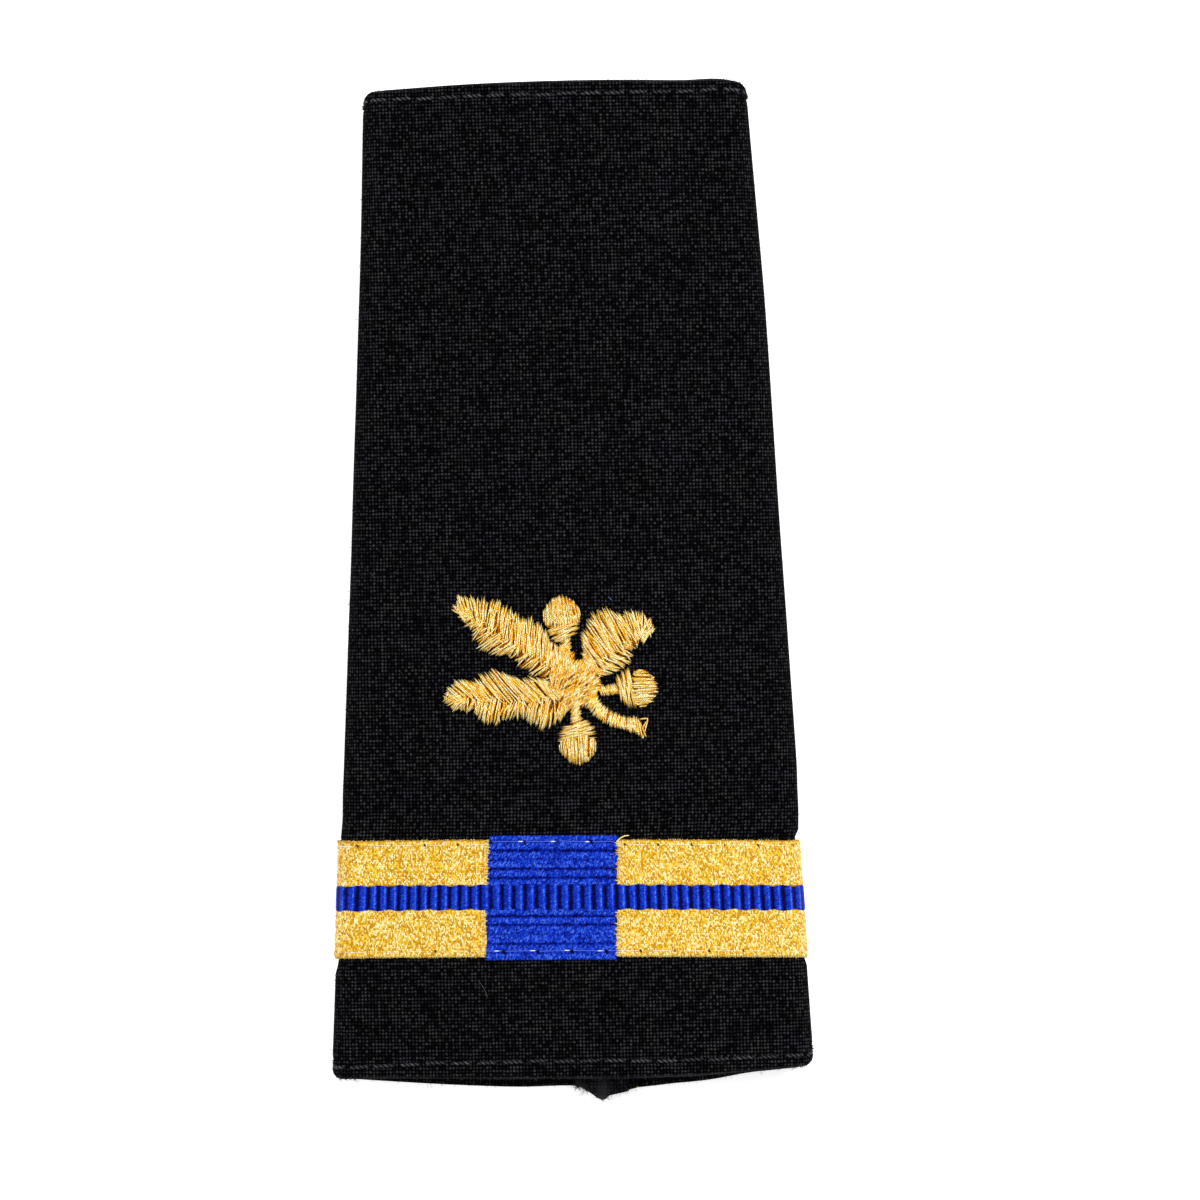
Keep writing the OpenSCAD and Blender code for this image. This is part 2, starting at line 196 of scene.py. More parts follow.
def placeGroup(group, vector, values):  # an input such as Thread Pitch takes the value named threadPitch
    made = addNode(vector.id_data, "Group", node_tree=group)
    feed(made.inputs["Vector"], vector)
    for socket in made.inputs[1:]:
        feed(socket, values[socket.name[0].lower() + socket.name[1:].replace(" ", "")])
    return made.outputs


def splitVector(vector):
    return addNode(vector.id_data, "SeparateXYZ", {0: vector}).outputs[:2]


def joinVector(x, y):
    return addNode(treeOf(x, y), "CombineXYZ", {0: x, 1: y}).outputs[0]


def randomAt(x, y):
    place = joinVector(x, y)
    return addNode(place.id_data, "TexWhiteNoise", {"Vector": place}, noise_dimensions="2D").outputs["Value"]


def noiseAt(vector, scale, detail=2.0):
    given = {"Vector": vector, "Scale": scale, "Detail": detail}
    return addNode(vector.id_data, "TexNoise", given).outputs[0]


def makePlainWeave():  # one thread over, one under, in millimetres of cloth
    tree, given, out = startGroup(
        "plainWeave", ("Pitch Across", "Pitch Along", "Unevenness"), ("Height", "Thread", "Crossing")
    )
    u, v = splitVector(given["Vector"])
    wobble = times(calc("SUBTRACT", noiseAt(given["Vector"], 0.9), 0.5), given["Unevenness"])
    x = calc("ADD", calc("DIVIDE", u, given["Pitch Across"]), wobble)
    y = calc("SUBTRACT", calc("DIVIDE", v, given["Pitch Along"]), wobble)
    column, row = calc("FLOOR", x), calc("FLOOR", y)

    def threadHeight(own, across, index, sign):
        phase = times(calc("ADD", calc("SUBTRACT", across, 0.5), index), math.pi)
        return times(calc("POWER", ridges(own), 0.7), scaled(calc("COSINE", phase), sign * 0.5, 0.5))

    warp = threadHeight(x, y, column, 1)
    weft = threadHeight(y, x, row, -1)
    warpRandom = randomAt(column, calc("FLOOR", times(y, 0.09)))
    weftRandom = randomAt(calc("FLOOR", times(x, 0.09)), row)
    picked = times(calc("GREATER_THAN", warp, weft), calc("SUBTRACT", warpRandom, weftRandom))
    feed(out["Height"], calc("MAXIMUM", warp, weft))
    feed(out["Thread"], calc("ADD", picked, weftRandom))
    feed(out["Crossing"], randomAt(column, row))
    return tree


def makeWovenGrain():  # threads packed side by side over cords, each crossing with its own random value
    tree, given, out = startGroup(
        "wovenGrain", ("Thread Pitch", "Cord Pitch", "Slant", "Stagger", "Band Share"),
        ("Height", "Random", "Band"),
    )
    u, v = splitVector(given["Vector"])
    wobble = times(calc("SUBTRACT", noiseAt(given["Vector"], 1.4), 0.5), 0.9)
    cord = calc("ADD", calc("DIVIDE", v, given["Cord Pitch"]), times(wobble, 0.3))
    thread = calc("ADD", calc("DIVIDE", u, given["Thread Pitch"]), wobble)
    thread = scaled(cord, given["Slant"], thread)
    column = calc("FLOOR", thread)
    broad = calc("FLOOR", times(cord, given["Band Share"]))
    cord = calc("ADD", cord, times(randomAt(column, 3.0), given["Stagger"]))
    random = randomAt(column, calc("FLOOR", cord))
    feed(out["Height"], times(ridges(thread), scaled(random, 0.5, 0.5), ridges(cord)))
    feed(out["Random"], random)
    feed(out["Band"], noiseAt(joinVector(times(u, 0.35), times(broad, 5.17)), 1.0, 1.0))
    return tree


def makeThreadTwist():  # plies wound round a thread: U goes once round, V is its length in millimetres
    tree, given, out = startGroup("threadTwist", ("Twist Length", "Plies", "Strand"), ("Height", "Glint"))
    u, v = splitVector(given["Vector"])
    turn = calc("ADD", u, calc("DIVIDE", v, given["Twist Length"]))
    turn = times(calc("ADD", turn, times(given["Strand"], 7.3)), given["Plies"])
    feed(out["Height"], ridges(turn))
    feed(out["Glint"], randomAt(calc("FLOOR", turn), times(given["Strand"], 91.7)))
    return tree


needle = {"spacing": 3.58, "phase": -0.495, "shear": 0.655, "size": 0.14, "inset": 5.62, "rise": 0.07}


def makeNeedleHoles():  # two rows of holes, some nearly closed, one on each side of the middle line
    tree, given, out = startGroup("needleHoles", ("Spacing", "Inset", "Rise", "Size"), ("Mask",))
    u, v = splitVector(given["Vector"])
    side = calc("SIGN", v)
    across = calc("SUBTRACT", calc("SUBTRACT", v, times(side, given["Inset"])), given["Rise"])
    along = calc("ADD", u, scaled(side, needle["shear"], -needle["phase"]))
    index = calc("ROUND", calc("DIVIDE", along, given["Spacing"]))
    along = calc("SUBTRACT", along, times(index, given["Spacing"]))
    slanted, far = calc("ADD", along, times(across, 0.3)), times(across, 0.8)
    distance = calc("SQRT", calc("ADD", times(slanted, slanted), times(far, far)))
    mask = calc("SUBTRACT", 1.0, calc("MINIMUM", calc("DIVIDE", distance, given["Size"]), 1.0))
    mask = times(calc("POWER", mask, 0.5), scaled(randomAt(index, side), 1.8, 0.4))
    feed(out["Mask"], calc("MINIMUM", mask, 1.0))
    return tree


plainWeave = makePlainWeave()
wovenGrain = makeWovenGrain()
threadTwist = makeThreadTwist()
needleHoles = makeNeedleHoles()


def startMaterial(name, **sockets):
    material = bpy.data.materials.new(name)
    material.use_nodes = True
    for label, value in sockets.items():
        material.node_tree.nodes["Principled BSDF"].inputs[label.replace("_", " ")].default_value = value
    return material


def layMap(material):
    return addNode(material.node_tree, "UVMap", uv_map="lay").outputs[0]


def strandValue(material):
    return addNode(material.node_tree, "Attribute", attribute_name="strand").outputs["Fac"]


def finishMaterial(material, colour, height=None, bump=0.0):
    sockets = material.node_tree.nodes["Principled BSDF"].inputs
    feed(sockets["Base Color"], colour)
    if height is not None:
        given = {"Distance": bump * mm, "Height": height}
        feed(sockets["Normal"], addNode(height.id_data, "Bump", given).outputs[0])
    return material


cloth = {
    "pitchAcross": 0.355, "pitchAlong": 0.37, "unevenness": 0.5, "bump": 0.1,
    # gap is painted shade between the threads, top a painted highlight on their tops
    "gap": paint(0, 0, 0), "thread": paint(9, 9, 12), "top": paint(66, 66, 71), "worn": paint(70, 70, 74),
    "warm": paint(255, 252, 238), "cool": paint(241, 243, 255),
}


def makeBlackCloth():  # the strand value is the share of a lighter grey: a painted highlight along the front's folded rims, and matted fibres at the seam's folded end
    material = startMaterial("blackCloth", Roughness=0.9, Specular_IOR_Level=0.01)
    lay = layMap(material)
    weave = placeGroup(plainWeave, lay, cloth)
    # painted shade in the gaps between threads and a painted highlight on the threads' tops, with random tone
    # for each thread and crossing
    shade = times(calc("POWER", weave["Height"], 1.8), scaled(weave["Crossing"], 0.7, 0.38))
    shade = times(shade, scaled(weave["Thread"], 0.2, 0.7), scaled(noiseAt(lay, 7.0), 1.4, 0.3))
    colour = colourRamp(shade, [(0.0, cloth["gap"]), (0.3, cloth["thread"]), (1.0, cloth["top"])])
    tint = blendColours(scaled(noiseAt(lay, 0.3, 1.0), 2.4, -0.7), cloth["warm"], cloth["cool"])
    colour = blendColours(1.0, colour, tint, "MULTIPLY")
    # lighter grey where the strand value is set: a painted highlight on the front's folded rims, and the seam
    # end's matted fibres
    colour = blendColours(times(strandValue(material), noiseAt(lay, 5.0, 3.0)), colour, cloth["worn"])
    return finishMaterial(material, colour, weave["Height"], cloth["bump"])


lace = {
    "threadPitch": 0.125, "cordPitch": 0.2, "slant": 0.1, "stagger": 0.5, "bandShare": 0.5, "bump": 0.05,
    # dark also paints the shade between the threads, and glint is a painted highlight
    "dark": paint(186, 128, 0), "mid": paint(234, 176, 16), "pale": paint(252, 213, 66),
    "glint": paint(255, 250, 190), "hole": paint(72, 32, 0),
}


def makeGoldLace():
    material = startMaterial("goldLace", Roughness=0.38, Metallic=0.25, Specular_IOR_Level=0.18)
    lay = layMap(material)
    grain = placeGroup(wovenGrain, lay, lace)
    # random tone for each thread crossing, topped with painted glints
    glitter = calc("SUBTRACT", scaled(grain["Band"], 0.6, times(grain["Random"], 1.15)), 0.45)
    colour = colourRamp(glitter, [
        (0.02, lace["dark"]), (0.28, lace["mid"]), (0.6, lace["pale"]), (0.84, lace["glint"]),
    ])
    # painted shade between the threads and cords
    gap = calc("SUBTRACT", 1.0, calc("POWER", grain["Height"], 0.4))
    colour = blendColours(times(gap, 0.4), colour, lace["dark"])
    holes = placeGroup(needleHoles, lay, needle)["Mask"]
    # painted shade in the needle holes
    colour = blendColours(holes, colour, lace["hole"])
    height = calc("SUBTRACT", grain["Height"], times(holes, 3.0))
    return finishMaterial(material, colour, height, lace["bump"])


ribbon = {
    "threadPitch": 0.115, "cordPitch": 0.17, "slant": -0.6, "stagger": 0.3, "bandShare": 0.5, "bump": 0.05,
    "sparkle": 0.7, "lineSparkle": 0.42, "holes": {"inset": 5.81, "rise": 0.12, "size": 0.24},
    # gap is painted shade between the ribs, hole painted shade in the needle holes, glint a painted highlight
    "hole": paint(0, 0, 40), "gap": paint(0, 0, 44), "dark": paint(0, 14, 128), "mid": paint(5, 42, 178),
    "pale": paint(26, 70, 208), "glint": paint(84, 122, 244),
}


def makeBlueRibbon(name, isLine):  # on the line the weave is turned by a right angle, for its ribs
    material = startMaterial(name, Roughness=0.5, Specular_IOR_Level=0.05)
    lay = layMap(material)
    u, v = splitVector(lay)
    grain = placeGroup(wovenGrain, joinVector(v, u) if isLine else lay, ribbon)
    sparkle = ribbon["lineSparkle"] if isLine else ribbon["sparkle"]
    glitter = scaled(grain["Band"], 0.3, times(grain["Random"], sparkle))
    # the strand value paints light on the ribs' crests and shade in the dips between them
    glitter = calc("SUBTRACT", scaled(strandValue(material), 0.9, glitter), 0.48 + sparkle / 2)
    colour = colourRamp(glitter, [
        (0.0, ribbon["gap"]), (0.16, ribbon["dark"]), (0.38, ribbon["mid"]), (0.62, ribbon["pale"]),
        (0.84, ribbon["glint"]),
    ])
    height = grain["Height"]
    if not isLine:
        holes = placeGroup(needleHoles, lay, {**needle, **ribbon["holes"]})["Mask"]
        # painted shade in the needle holes
        colour = blendColours(holes, colour, ribbon["hole"])
        height = calc("SUBTRACT", height, times(holes, 3.0))
    return finishMaterial(material, colour, height, ribbon["bump"])


goldYarn = {
    # the first two: the share of threads painted as in shadow, and how dark; under: how dark the lower layer
    # and stuffing are painted, as shade
    "sunk": 0.045, "sunkShade": 0.15, "under": 0.62, "twistLength": 0.56, "plies": 2.0, "bump": 0.05,
    # deep is painted shade, glint a painted highlight
    "deep": paint(70, 24, 0), "dark": paint(200, 100, 0), "mid": paint(252, 176, 0),
    "pale": paint(255, 218, 56), "glint": paint(255, 252, 206), "edge": paint(255, 176, 40),
}


def makeGoldThread():  # a strand value under 0 marks the threads of the lower layer and the stuffing, which are painted darker as shade
    material = startMaterial(
        "goldThread", Roughness=0.36, Metallic=0.4, Specular_IOR_Level=0.0, Specular_Tint=goldYarn["edge"]
    )
    lay, strand = layMap(material), strandValue(material)
    twist = placeGroup(threadTwist, lay, {**goldYarn, "strand": strand})
    # random painted glints along each ply, and painted shade between the plies
    size = calc("ABSOLUTE", strand)
    shade = calc("ADD", scaled(size, 0.14, times(calc("POWER", twist["Glint"], 1.8), 0.95)), 0.33)
    shade = times(shade, scaled(twist["Height"], 0.5, 0.75))
    # a share of the threads painted as in shadow, and the lower layer and stuffing painted darker as shade
    shade = times(shade, scaled(calc("LESS_THAN", size, goldYarn["sunk"]), goldYarn["sunkShade"] - 1, 1.0))
    shade = times(shade, scaled(calc("LESS_THAN", strand, 0.0), goldYarn["under"] - 1, 1.0))
    u, v = splitVector(lay)
    # thread sides painted darker than their lit tops
    shade = times(shade, scaled(calc("COSINE", times(u, math.tau)), 0.27, 0.69))  # U is 0 on a thread's top
    colour = colourRamp(shade, [
        (0.0, goldYarn["deep"]), (0.14, goldYarn["dark"]), (0.36, goldYarn["mid"]), (0.6, goldYarn["pale"]),
        (0.8, goldYarn["glint"]),
    ])
    return finishMaterial(material, colour, twist["Height"], goldYarn["bump"])


blackYarn = {"dark": paint(0, 0, 1), "light": paint(104, 104, 112)}


def makeBlackThread():  # the strand value is 1 where a ply comes up to the light
    material = startMaterial("blackThread", Roughness=0.6, Specular_IOR_Level=0.1)
    shade = times(calc("POWER", strandValue(material), 2.6), noiseAt(layMap(material), 6.0))
    return finishMaterial(material, blendColours(shade, blackYarn["dark"], blackYarn["light"]))


clearYarn = {
    "radius": 0.052, "thin": 0.03, "sides": 6, "arch": 0.07, "endDip": 0.12, "tilt": 0.12, "breakRise": 0.33,
    "shine": 0.085, "goldShine": 0.34, "onBlue": paint(66, 96, 222), "onGold": paint(250, 214, 110),
    "white": paint(255, 255, 255),
}


def makeClearThread():  # it takes the colour under it and shines white on one part of each stitch
    material = startMaterial("clearThread", Roughness=0.15, Specular_IOR_Level=0.8)
    strand = strandValue(material)
    u, v = splitVector(layMap(material))
    onGold = calc("LESS_THAN", strand, 0.0)
    wander = times(calc("ABSOLUTE", strand), scaled(onGold, 0.4, 0.1))
    centre = calc("ADD", wander, scaled(onGold, -0.44, 0.79))
    away = calc("SUBTRACT", calc("DIVIDE", v, needle["spacing"]), centre)
    reach = scaled(onGold, clearYarn["goldShine"] - clearYarn["shine"], clearYarn["shine"])
    away = calc("POWER", calc("DIVIDE", away, reach), 2.0)
    shine = calc("SUBTRACT", 1.0, calc("MINIMUM", away, 1.0))
    plain = blendColours(onGold, clearYarn["onBlue"], clearYarn["onGold"])
    return finishMaterial(material, blendColours(shine, plain, clearYarn["white"]))


def makeLint(name, dark, pale):
    material = startMaterial(name, Roughness=0.8, Specular_IOR_Level=0.2)
    return finishMaterial(material, blendColours(strandValue(material), dark, pale))


materials = {
    "cloth": makeBlackCloth(),
    "lace": makeGoldLace(),
    "break": makeBlueRibbon("blueBreak", False),
    "line": makeBlueRibbon("blueLine", True),
    "gold": makeGoldThread(),
    "black": makeBlackThread(),
    "clear": makeClearThread(),
    "blackLint": makeLint("blackLint", paint(8, 8, 10), paint(84, 84, 88)),
    "blueLint": makeLint("blueLint", paint(20, 40, 150), paint(80, 110, 230)),
    "goldLint": makeLint("goldLint", paint(214, 160, 50), paint(255, 236, 150)),
}
print("materials ready")

sleeve = {
    "length": 104.7, "wideWidth": 51.3, "narrowWidth": 40.7, "wall": 1.0, "foldRadius": 2.7,
    "crownHeight": 2.4, "crownPower": 3.5, "cornerRadius": 0.7, "waist": 0.3, "waistRun": 0.6, "sideBow": 0.3,
    "bowRun": 24.0, "sideSwell": 0.1, "edgeSwell": 0.2, "swellUp": 2.6, "swellRun": 2.4, "hemDepth": 6.0,
    "hemThickness": 0.2, "hemStep": 0.8, "rimRun": 0.45, "waves": 0.05, "backWaves": 0.3, "backSink": 0.02,
    # the last two: a painted highlight along the front's folded rims, its strength and its place and width on
    # the rim's turn
    "rub": 0.9, "rubTurn": (0.9, 0.3),
}
# Both mouths' edges: how far they bow, lean and rise. A dent is a depth, a place across and a width
mouths = {
    "edgeRun": 12.0, "frontBow": 0.55, "backBow": 1.8, "frontLean": 1.1, "backLean": 0.3, "wideRise": 0.55,
    "dents": ((0.2, -0.03, 0.13), (0.26, 0.73, 0.12)), "dentFade": 0.7, "narrowBow": 0.5, "backShare": 0.5,
    "narrowRise": 0.3, "cornerLift": 0.28, "cornerPlace": (0.84, 0.13),
}
seam = {"x": 2.9, "grooveDepth": 0.25, "grooveWidth": 0.8, "tipOut": 1.4, "tipMargin": 0.06}
stripe = {
    "height": 12.7, "up": 18.25, "thickness": 0.4, "skew": 0.95, "arch": 0.25, "seatGap": 0.06,
    "floorGap": 0.06, "liftMargin": 1.2, "liftRun": 7.0, "breakWidth": 13.8, "breakHeight": 13.1,
    "breakX": -1.9, "lineThickness": 0.3, "ribDip": 0.12,
}
reachWide = mouths["backBow"] + seam["tipOut"] + seam["tipMargin"]
wideY = -(sleeve["length"] + mouths["narrowBow"] - reachWide) / 2
stripeY = wideY + stripe["up"]
narrowY = wideY + sleeve["length"]
lineSeat = 2 * stripe["seatGap"] + stripe["thickness"]
stripeLift = lineSeat + stripe["lineThickness"] + stripe["floorGap"]


def lerp(first, second, share):
    return first + (second - first) * share


def smooth(share):
    held = np.clip(share, 0, 1)
    return held * held * (3 - 2 * held)


def bell(value, centre, width):  # 1 at the centre, falling away on both sides
    return np.exp(-((value - centre) / width) ** 2)


def unit(vectors):
    return vectors / np.linalg.norm(vectors, axis=-1, keepdims=True)


def nearStripe(y):
    near = stripe["height"] / 2 + stripe["liftMargin"] + stripe["liftRun"] - np.abs(y - stripeY)
    return smooth(near / stripe["liftRun"])


def sidePull(y):  # the stripe, sewn tight, draws the sides in over its own height
    return smooth((stripe["height"] / 2 + sleeve["waistRun"] - np.abs(y - stripeY)) / sleeve["waistRun"])


def abovePart(y):  # 1 between the stripe and the narrow mouth, 0 at both
    past = smooth((y - stripeY - stripe["height"] / 2 - stripe["liftMargin"]) / stripe["liftRun"])
    return past * smooth((narrowY - y) / sleeve["bowRun"])


def halfWidth(y):
    even = lerp(sleeve["wideWidth"], sleeve["narrowWidth"], (y - wideY) / sleeve["length"]) / 2
    return even - sleeve["waist"] * sidePull(y) + sleeve["sideSwell"] * abovePart(y)


def sideShift(y):  # the sleeve bows to the right between the stripe and the narrow mouth
    swell = bell(y - stripeY - stripe["height"] / 2, sleeve["swellUp"], sleeve["swellRun"])
    return sleeve["sideBow"] * abovePart(y) + sleeve["edgeSwell"] * swell * (1 - sidePull(y))


def lift(y):  # how far the trimmings hold the back off the surface
    return stripeLift * nearStripe(y)


def foldRadius(y):
    return sleeve["foldRadius"] - lift(y) / 2


def crown(share):
    return sleeve["crownHeight"] * (1 - np.minimum(1, np.abs(share)) ** sleeve["crownPower"]) ** 2


# A place round the section runs 0 to 1 along the back, 2 up the right fold, 3 back along the front, 4 down
# the left fold and on along the back to the seam again.
def roundParts(around):
    zone = np.floor(around).astype(int) % 4
    share = around - np.floor(around)
    angle = np.radians(np.where(zone == 1, -90 + 180 * share, 90 - 180 * share))
    across = np.where(zone == 0, 2 * share - 1, 1 - 2 * share)
    return zone, across, angle


def skin(around, y, out):
    around, y, out = np.broadcast_arrays(np.asarray(around, float), y, out)
    zone, across, angle = roundParts(around)
    radius, low = foldRadius(y), lift(y)
    flat = halfWidth(y) - radius
    side = np.where(zone == 1, 1, -1)
    x = np.where(zone % 2 == 0, across * flat, side * (flat + (radius + out) * np.cos(angle))) + sideShift(y)
    folded = low + radius + (radius + out) * np.sin(angle)
    z = np.select([zone == 0, zone == 2], [low - out, low + 2 * radius + crown(across) + out], folded)
    return np.stack([x, y, z], -1)


def clothLength(around, y):  # distance along the cloth from the middle of the front, positive to the right
    around, y = np.broadcast_arrays(np.asarray(around, float), y)
    zone, across, angle = roundParts(around)
    radius = foldRadius(y)
    flat = halfWidth(y) - radius
    side = np.where(around < 2.5, 1, -1)
    folded = side * (flat + radius * (math.pi / 2 - angle))
    behind = side * (2 * flat + math.pi * radius) - across * flat
    return np.select([zone == 0, zone == 2], [behind, across * flat], folded)


def frontZ(x, y):
    return 2 * sleeve["foldRadius"] + crown((x - sideShift(y)) / (halfWidth(y) - sleeve["foldRadius"]))


flatWide = sleeve["wideWidth"] / 2 - sleeve["foldRadius"]
seamAcross = seam["x"] / flatWide
seamAround = (1 + seamAcross) / 2
grooveShare = seam["grooveWidth"] / 2 / flatWide
# The seam's folded end: distances to the right of its point, and how far it stands out there
tipForm = {
    "side": 0.22, "past": (-2.3, -1.6, -0.6, 0.0, 0.45, 0.65, 2.75, 3.6, 7.5),
    "out": (0.0, 0.42, 1.12, 1.36, 1.12, 0.86, 0.44, 0.2, 0.0),
}


def sideShare(around, half):
    zone, across, angle = roundParts(around)
    radius = sleeve["foldRadius"]
    folded = np.where(zone == 1, 1, -1) * (half - radius + radius * np.cos(angle)) / half
    return np.where(zone % 2 == 0, across * (half - radius) / half, folded)


def facing(around):  # 0 on the back, 1 on the front
    zone, across, angle = roundParts(around)
    return np.select([zone == 0, zone == 2], [0.0, 1.0], (1 + np.sin(angle)) / 2)


def cornerCut(share, half):
    corner = sleeve["cornerRadius"]
    depth = np.clip(corner - half * (1 - np.abs(share)), 0, corner)
    return corner - np.sqrt(corner**2 - depth**2)


def stationY(around, station):  # where a distance from the wide mouth lies, with each mouth's own curved edge
    zone, across, angle = roundParts(around)
    face = facing(around)
    wide, narrow = sleeve["wideWidth"] / 2, sleeve["narrowWidth"] / 2
    share = sideShare(around, wide)
    past = np.where(zone == 0, (across - seamAcross) * flatWide - tipForm["side"], 99)
    tip = np.interp(past, tipForm["past"], tipForm["out"])
    bow = lerp(mouths["backBow"], mouths["frontBow"], face) * (1 - share**2)
    wideShift = mouths["wideRise"] * share / 2 + cornerCut(share, wide) - tip
    wideShift = wideShift - bow * (1 + lerp(mouths["backLean"], mouths["frontLean"], face) * share)
    dents = sum(depth * bell(share, place, width) for depth, place, width in mouths["dents"])
    wideShift = wideShift + dents * (1 - mouths["dentFade"] * face)
    share = sideShare(around, narrow)
    bow = mouths["narrowBow"] * (1 - share**2) * lerp(mouths["backShare"], 1, face)
    narrowShift = mouths["narrowRise"] * share / 2 - cornerCut(share, narrow) + bow
    narrowShift = narrowShift + mouths["cornerLift"] * bell(share, *mouths["cornerPlace"]) * face
    nearWide = 1 - smooth(station / mouths["edgeRun"])
    nearNarrow = 1 - smooth((sleeve["length"] - station) / mouths["edgeRun"])
    return wideY + station + wideShift * nearWide + narrowShift * nearNarrow


def gridFaces(rows, columns, closed=False):  # every row is a ring, and closed joins the last row to the first
    column = np.arange(columns)
    row = np.arange(rows if closed else rows - 1)[:, None]
    nextColumn = (column + 1) % columns
    start, end = row * columns, (row + 1) % rows * columns
    return np.stack([start + column, start + nextColumn, end + nextColumn, end + column], -1).reshape(-1, 4)


def gridMap(uv):  # uv has one more row and column than there are faces
    corners = [uv[..., :-1, :-1, :], uv[..., :-1, 1:, :], uv[..., 1:, 1:, :], uv[..., 1:, :-1, :]]
    return np.stack(corners, -2).reshape(-1, 4, 2)


def makeShell(points, faces, maps, strand):
    return {"points": points, "faces": faces, "maps": maps, "strand": strand}


def makeBar(points, uv, strand):  # rows of closed rings, with a cap at each end
    rows, columns = points.shape[:2]
    faces = gridFaces(rows, columns)
    ring = np.arange(columns)
    caps = np.stack([ring[::-1], (rows - 1) * columns + ring])
    maps = [gridMap(np.concatenate([uv, uv[:, :1]], 1)), np.stack([uv[0, ::-1], uv[-1]])]
    strand = np.broadcast_to(strand, (rows, columns)).ravel()
    return makeShell(points.reshape(-1, 3), [faces, caps], maps, strand)


upward = np.array([0.0, 0.0, 1.0])
tubeEnd = 0.45  # how much thinner a thread is at its two ends


def makeTubes(paths, up, radius, sides, strand, flatten=1.0):
    count, steps = paths.shape[:2]
    way = unit(np.gradient(paths, axis=1))
    side = unit(np.cross(way, up))
    rise = np.cross(side, way)
    turn = np.arange(sides) * 2 * math.pi / sides
    radius = np.broadcast_to(radius, (count, steps)).copy()
    radius[:, [0, -1]] *= tubeEnd
    lean = flatten * np.cos(turn)[None, None, :, None] * rise[:, :, None]
    lean = lean + np.sin(turn)[None, None, :, None] * side[:, :, None]
    rings = paths[:, :, None] + radius[:, :, None, None] * lean
    uv = np.empty((count, steps, sides + 1, 2))
    uv[..., 0] = np.arange(sides + 1) / sides
    stepLengths = np.linalg.norm(np.diff(paths, axis=1, prepend=paths[:, :1]), axis=2)
    uv[..., 1] = np.cumsum(stepLengths, axis=1)[:, :, None]
    first = (np.arange(count) * steps * sides)[:, None]
    faces = (gridFaces(steps, sides) + first[:, :, None]).reshape(-1, 4)
    ring = first + np.arange(sides)
    caps = np.concatenate([ring[:, ::-1], ring + (steps - 1) * sides])
    strand = np.asarray(strand, float)
    strand = np.broadcast_to(strand.reshape(-1, 1) if strand.ndim < 2 else strand, (count, steps))
    maps = [gridMap(uv), np.zeros((len(caps), sides, 2))]
    return makeShell(rings.reshape(-1, 3), [faces, caps], maps, np.repeat(strand.ravel(), sides))


def makePiece(name, shells, material, replaced=()):
    points, strands, corners, maps, starts = [], [], [], [], []
    base, corner = 0, 0
    for shell in shells:
        points.append(shell["points"])
        strands.append(shell["strand"])
        for faces, uv in zip(shell["faces"], shell["maps"]):
            corners.append((faces + base).ravel())
            maps.append(uv.reshape(-1, 2))
            starts.append(corner + np.arange(len(faces)) * faces.shape[1])
            corner += faces.size
        base += len(shell["points"])
    mesh = bpy.data.meshes.new(name)
    mesh.vertices.add(base)
    mesh.vertices.foreach_set("co", (np.concatenate(points) * mm).astype(np.float32).ravel())
    mesh.loops.add(corner)
    mesh.loops.foreach_set("vertex_index", np.concatenate(corners).astype(np.int32))
    starts = np.concatenate(starts).astype(np.int32)
    mesh.polygons.add(len(starts))
    mesh.polygons.foreach_set("loop_start", starts)
    mesh.polygons.foreach_set("use_smooth", np.ones(len(starts), bool))
    layer = mesh.uv_layers.new(name="lay")
    layer.data.foreach_set("uv", np.concatenate(maps).astype(np.float32).ravel())
    strand = mesh.attributes.new("strand", "FLOAT", "POINT")
    strand.data.foreach_set("value", np.concatenate(strands).astype(np.float32))
    mesh.update(calc_edges=True)
    mesh.validate()
    mesh.materials.append(material)
    piece = addObject(name, mesh)
    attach(piece, "root")
    if replaced:
        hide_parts(*replaced)
    return piece


# Each hem's stitches: how far in from the mouth at the sides, how much farther in its middle, pitch and phase
hem = {
    "wide": {"inset": 1.17, "middle": 0.7, "pitch": 2.73, "phase": 0.66},
    "narrow": {"inset": 1.0, "middle": 0.45, "pitch": 2.5, "phase": 0.5},
    "stitchShare": 0.8, "plyRadius": 0.11, "plyOffset": 0.12, "twist": 1.08, "arch": 0.08, "backArch": -0.2,
    "endDip": 0.16, "dimple": 0.13, "dimpleRun": 0.3, "channel": 0.06, "backChannel": 0.22, "channelRun": 0.5,
    "flatten": 0.8, "seamMargin": 0.6, "uneven": (0.9, 1.06), "drift": 0.07, "slant": 0.05,
}


def hemLine(around, mouth):
    share = sideShare(around, sleeve[mouth + "Width"] / 2)
    return hem[mouth]["inset"] + hem[mouth]["middle"] * (1 - share**2)


def hemSink(around, station, y):  # the stitched line pulls the cloth in, most at the needle holes
    along = clothLength(around, y)
    inward, turn = [], []
    for mouth, deep in (("wide", station), ("narrow", sleeve["length"] - station)):
        inward.append(deep - hemLine(around, mouth))
        turn.append(along / hem[mouth]["pitch"] - hem[mouth]["phase"])
    atWide = station < sleeve["length"] / 2
    inward, turn = np.where(atWide, *inward), np.where(atWide, *turn)
    deep = lerp(hem["backChannel"], hem["channel"], facing(around))
    hole = np.abs(np.sin(math.pi * turn)) ** 14 * bell(inward, 0, hem["dimpleRun"])
    return bell(inward, 0, hem["channelRun"]) * deep + hole * hem["dimple"]


def clothWaves(along, station):  # the soft unevenness of pressed cloth
    wave = np.sin(along * 0.31 + 1.3 * np.sin(station * 0.11)) * np.sin(station * 0.17 + along * 0.05)
    return sleeve["waves"] * wave


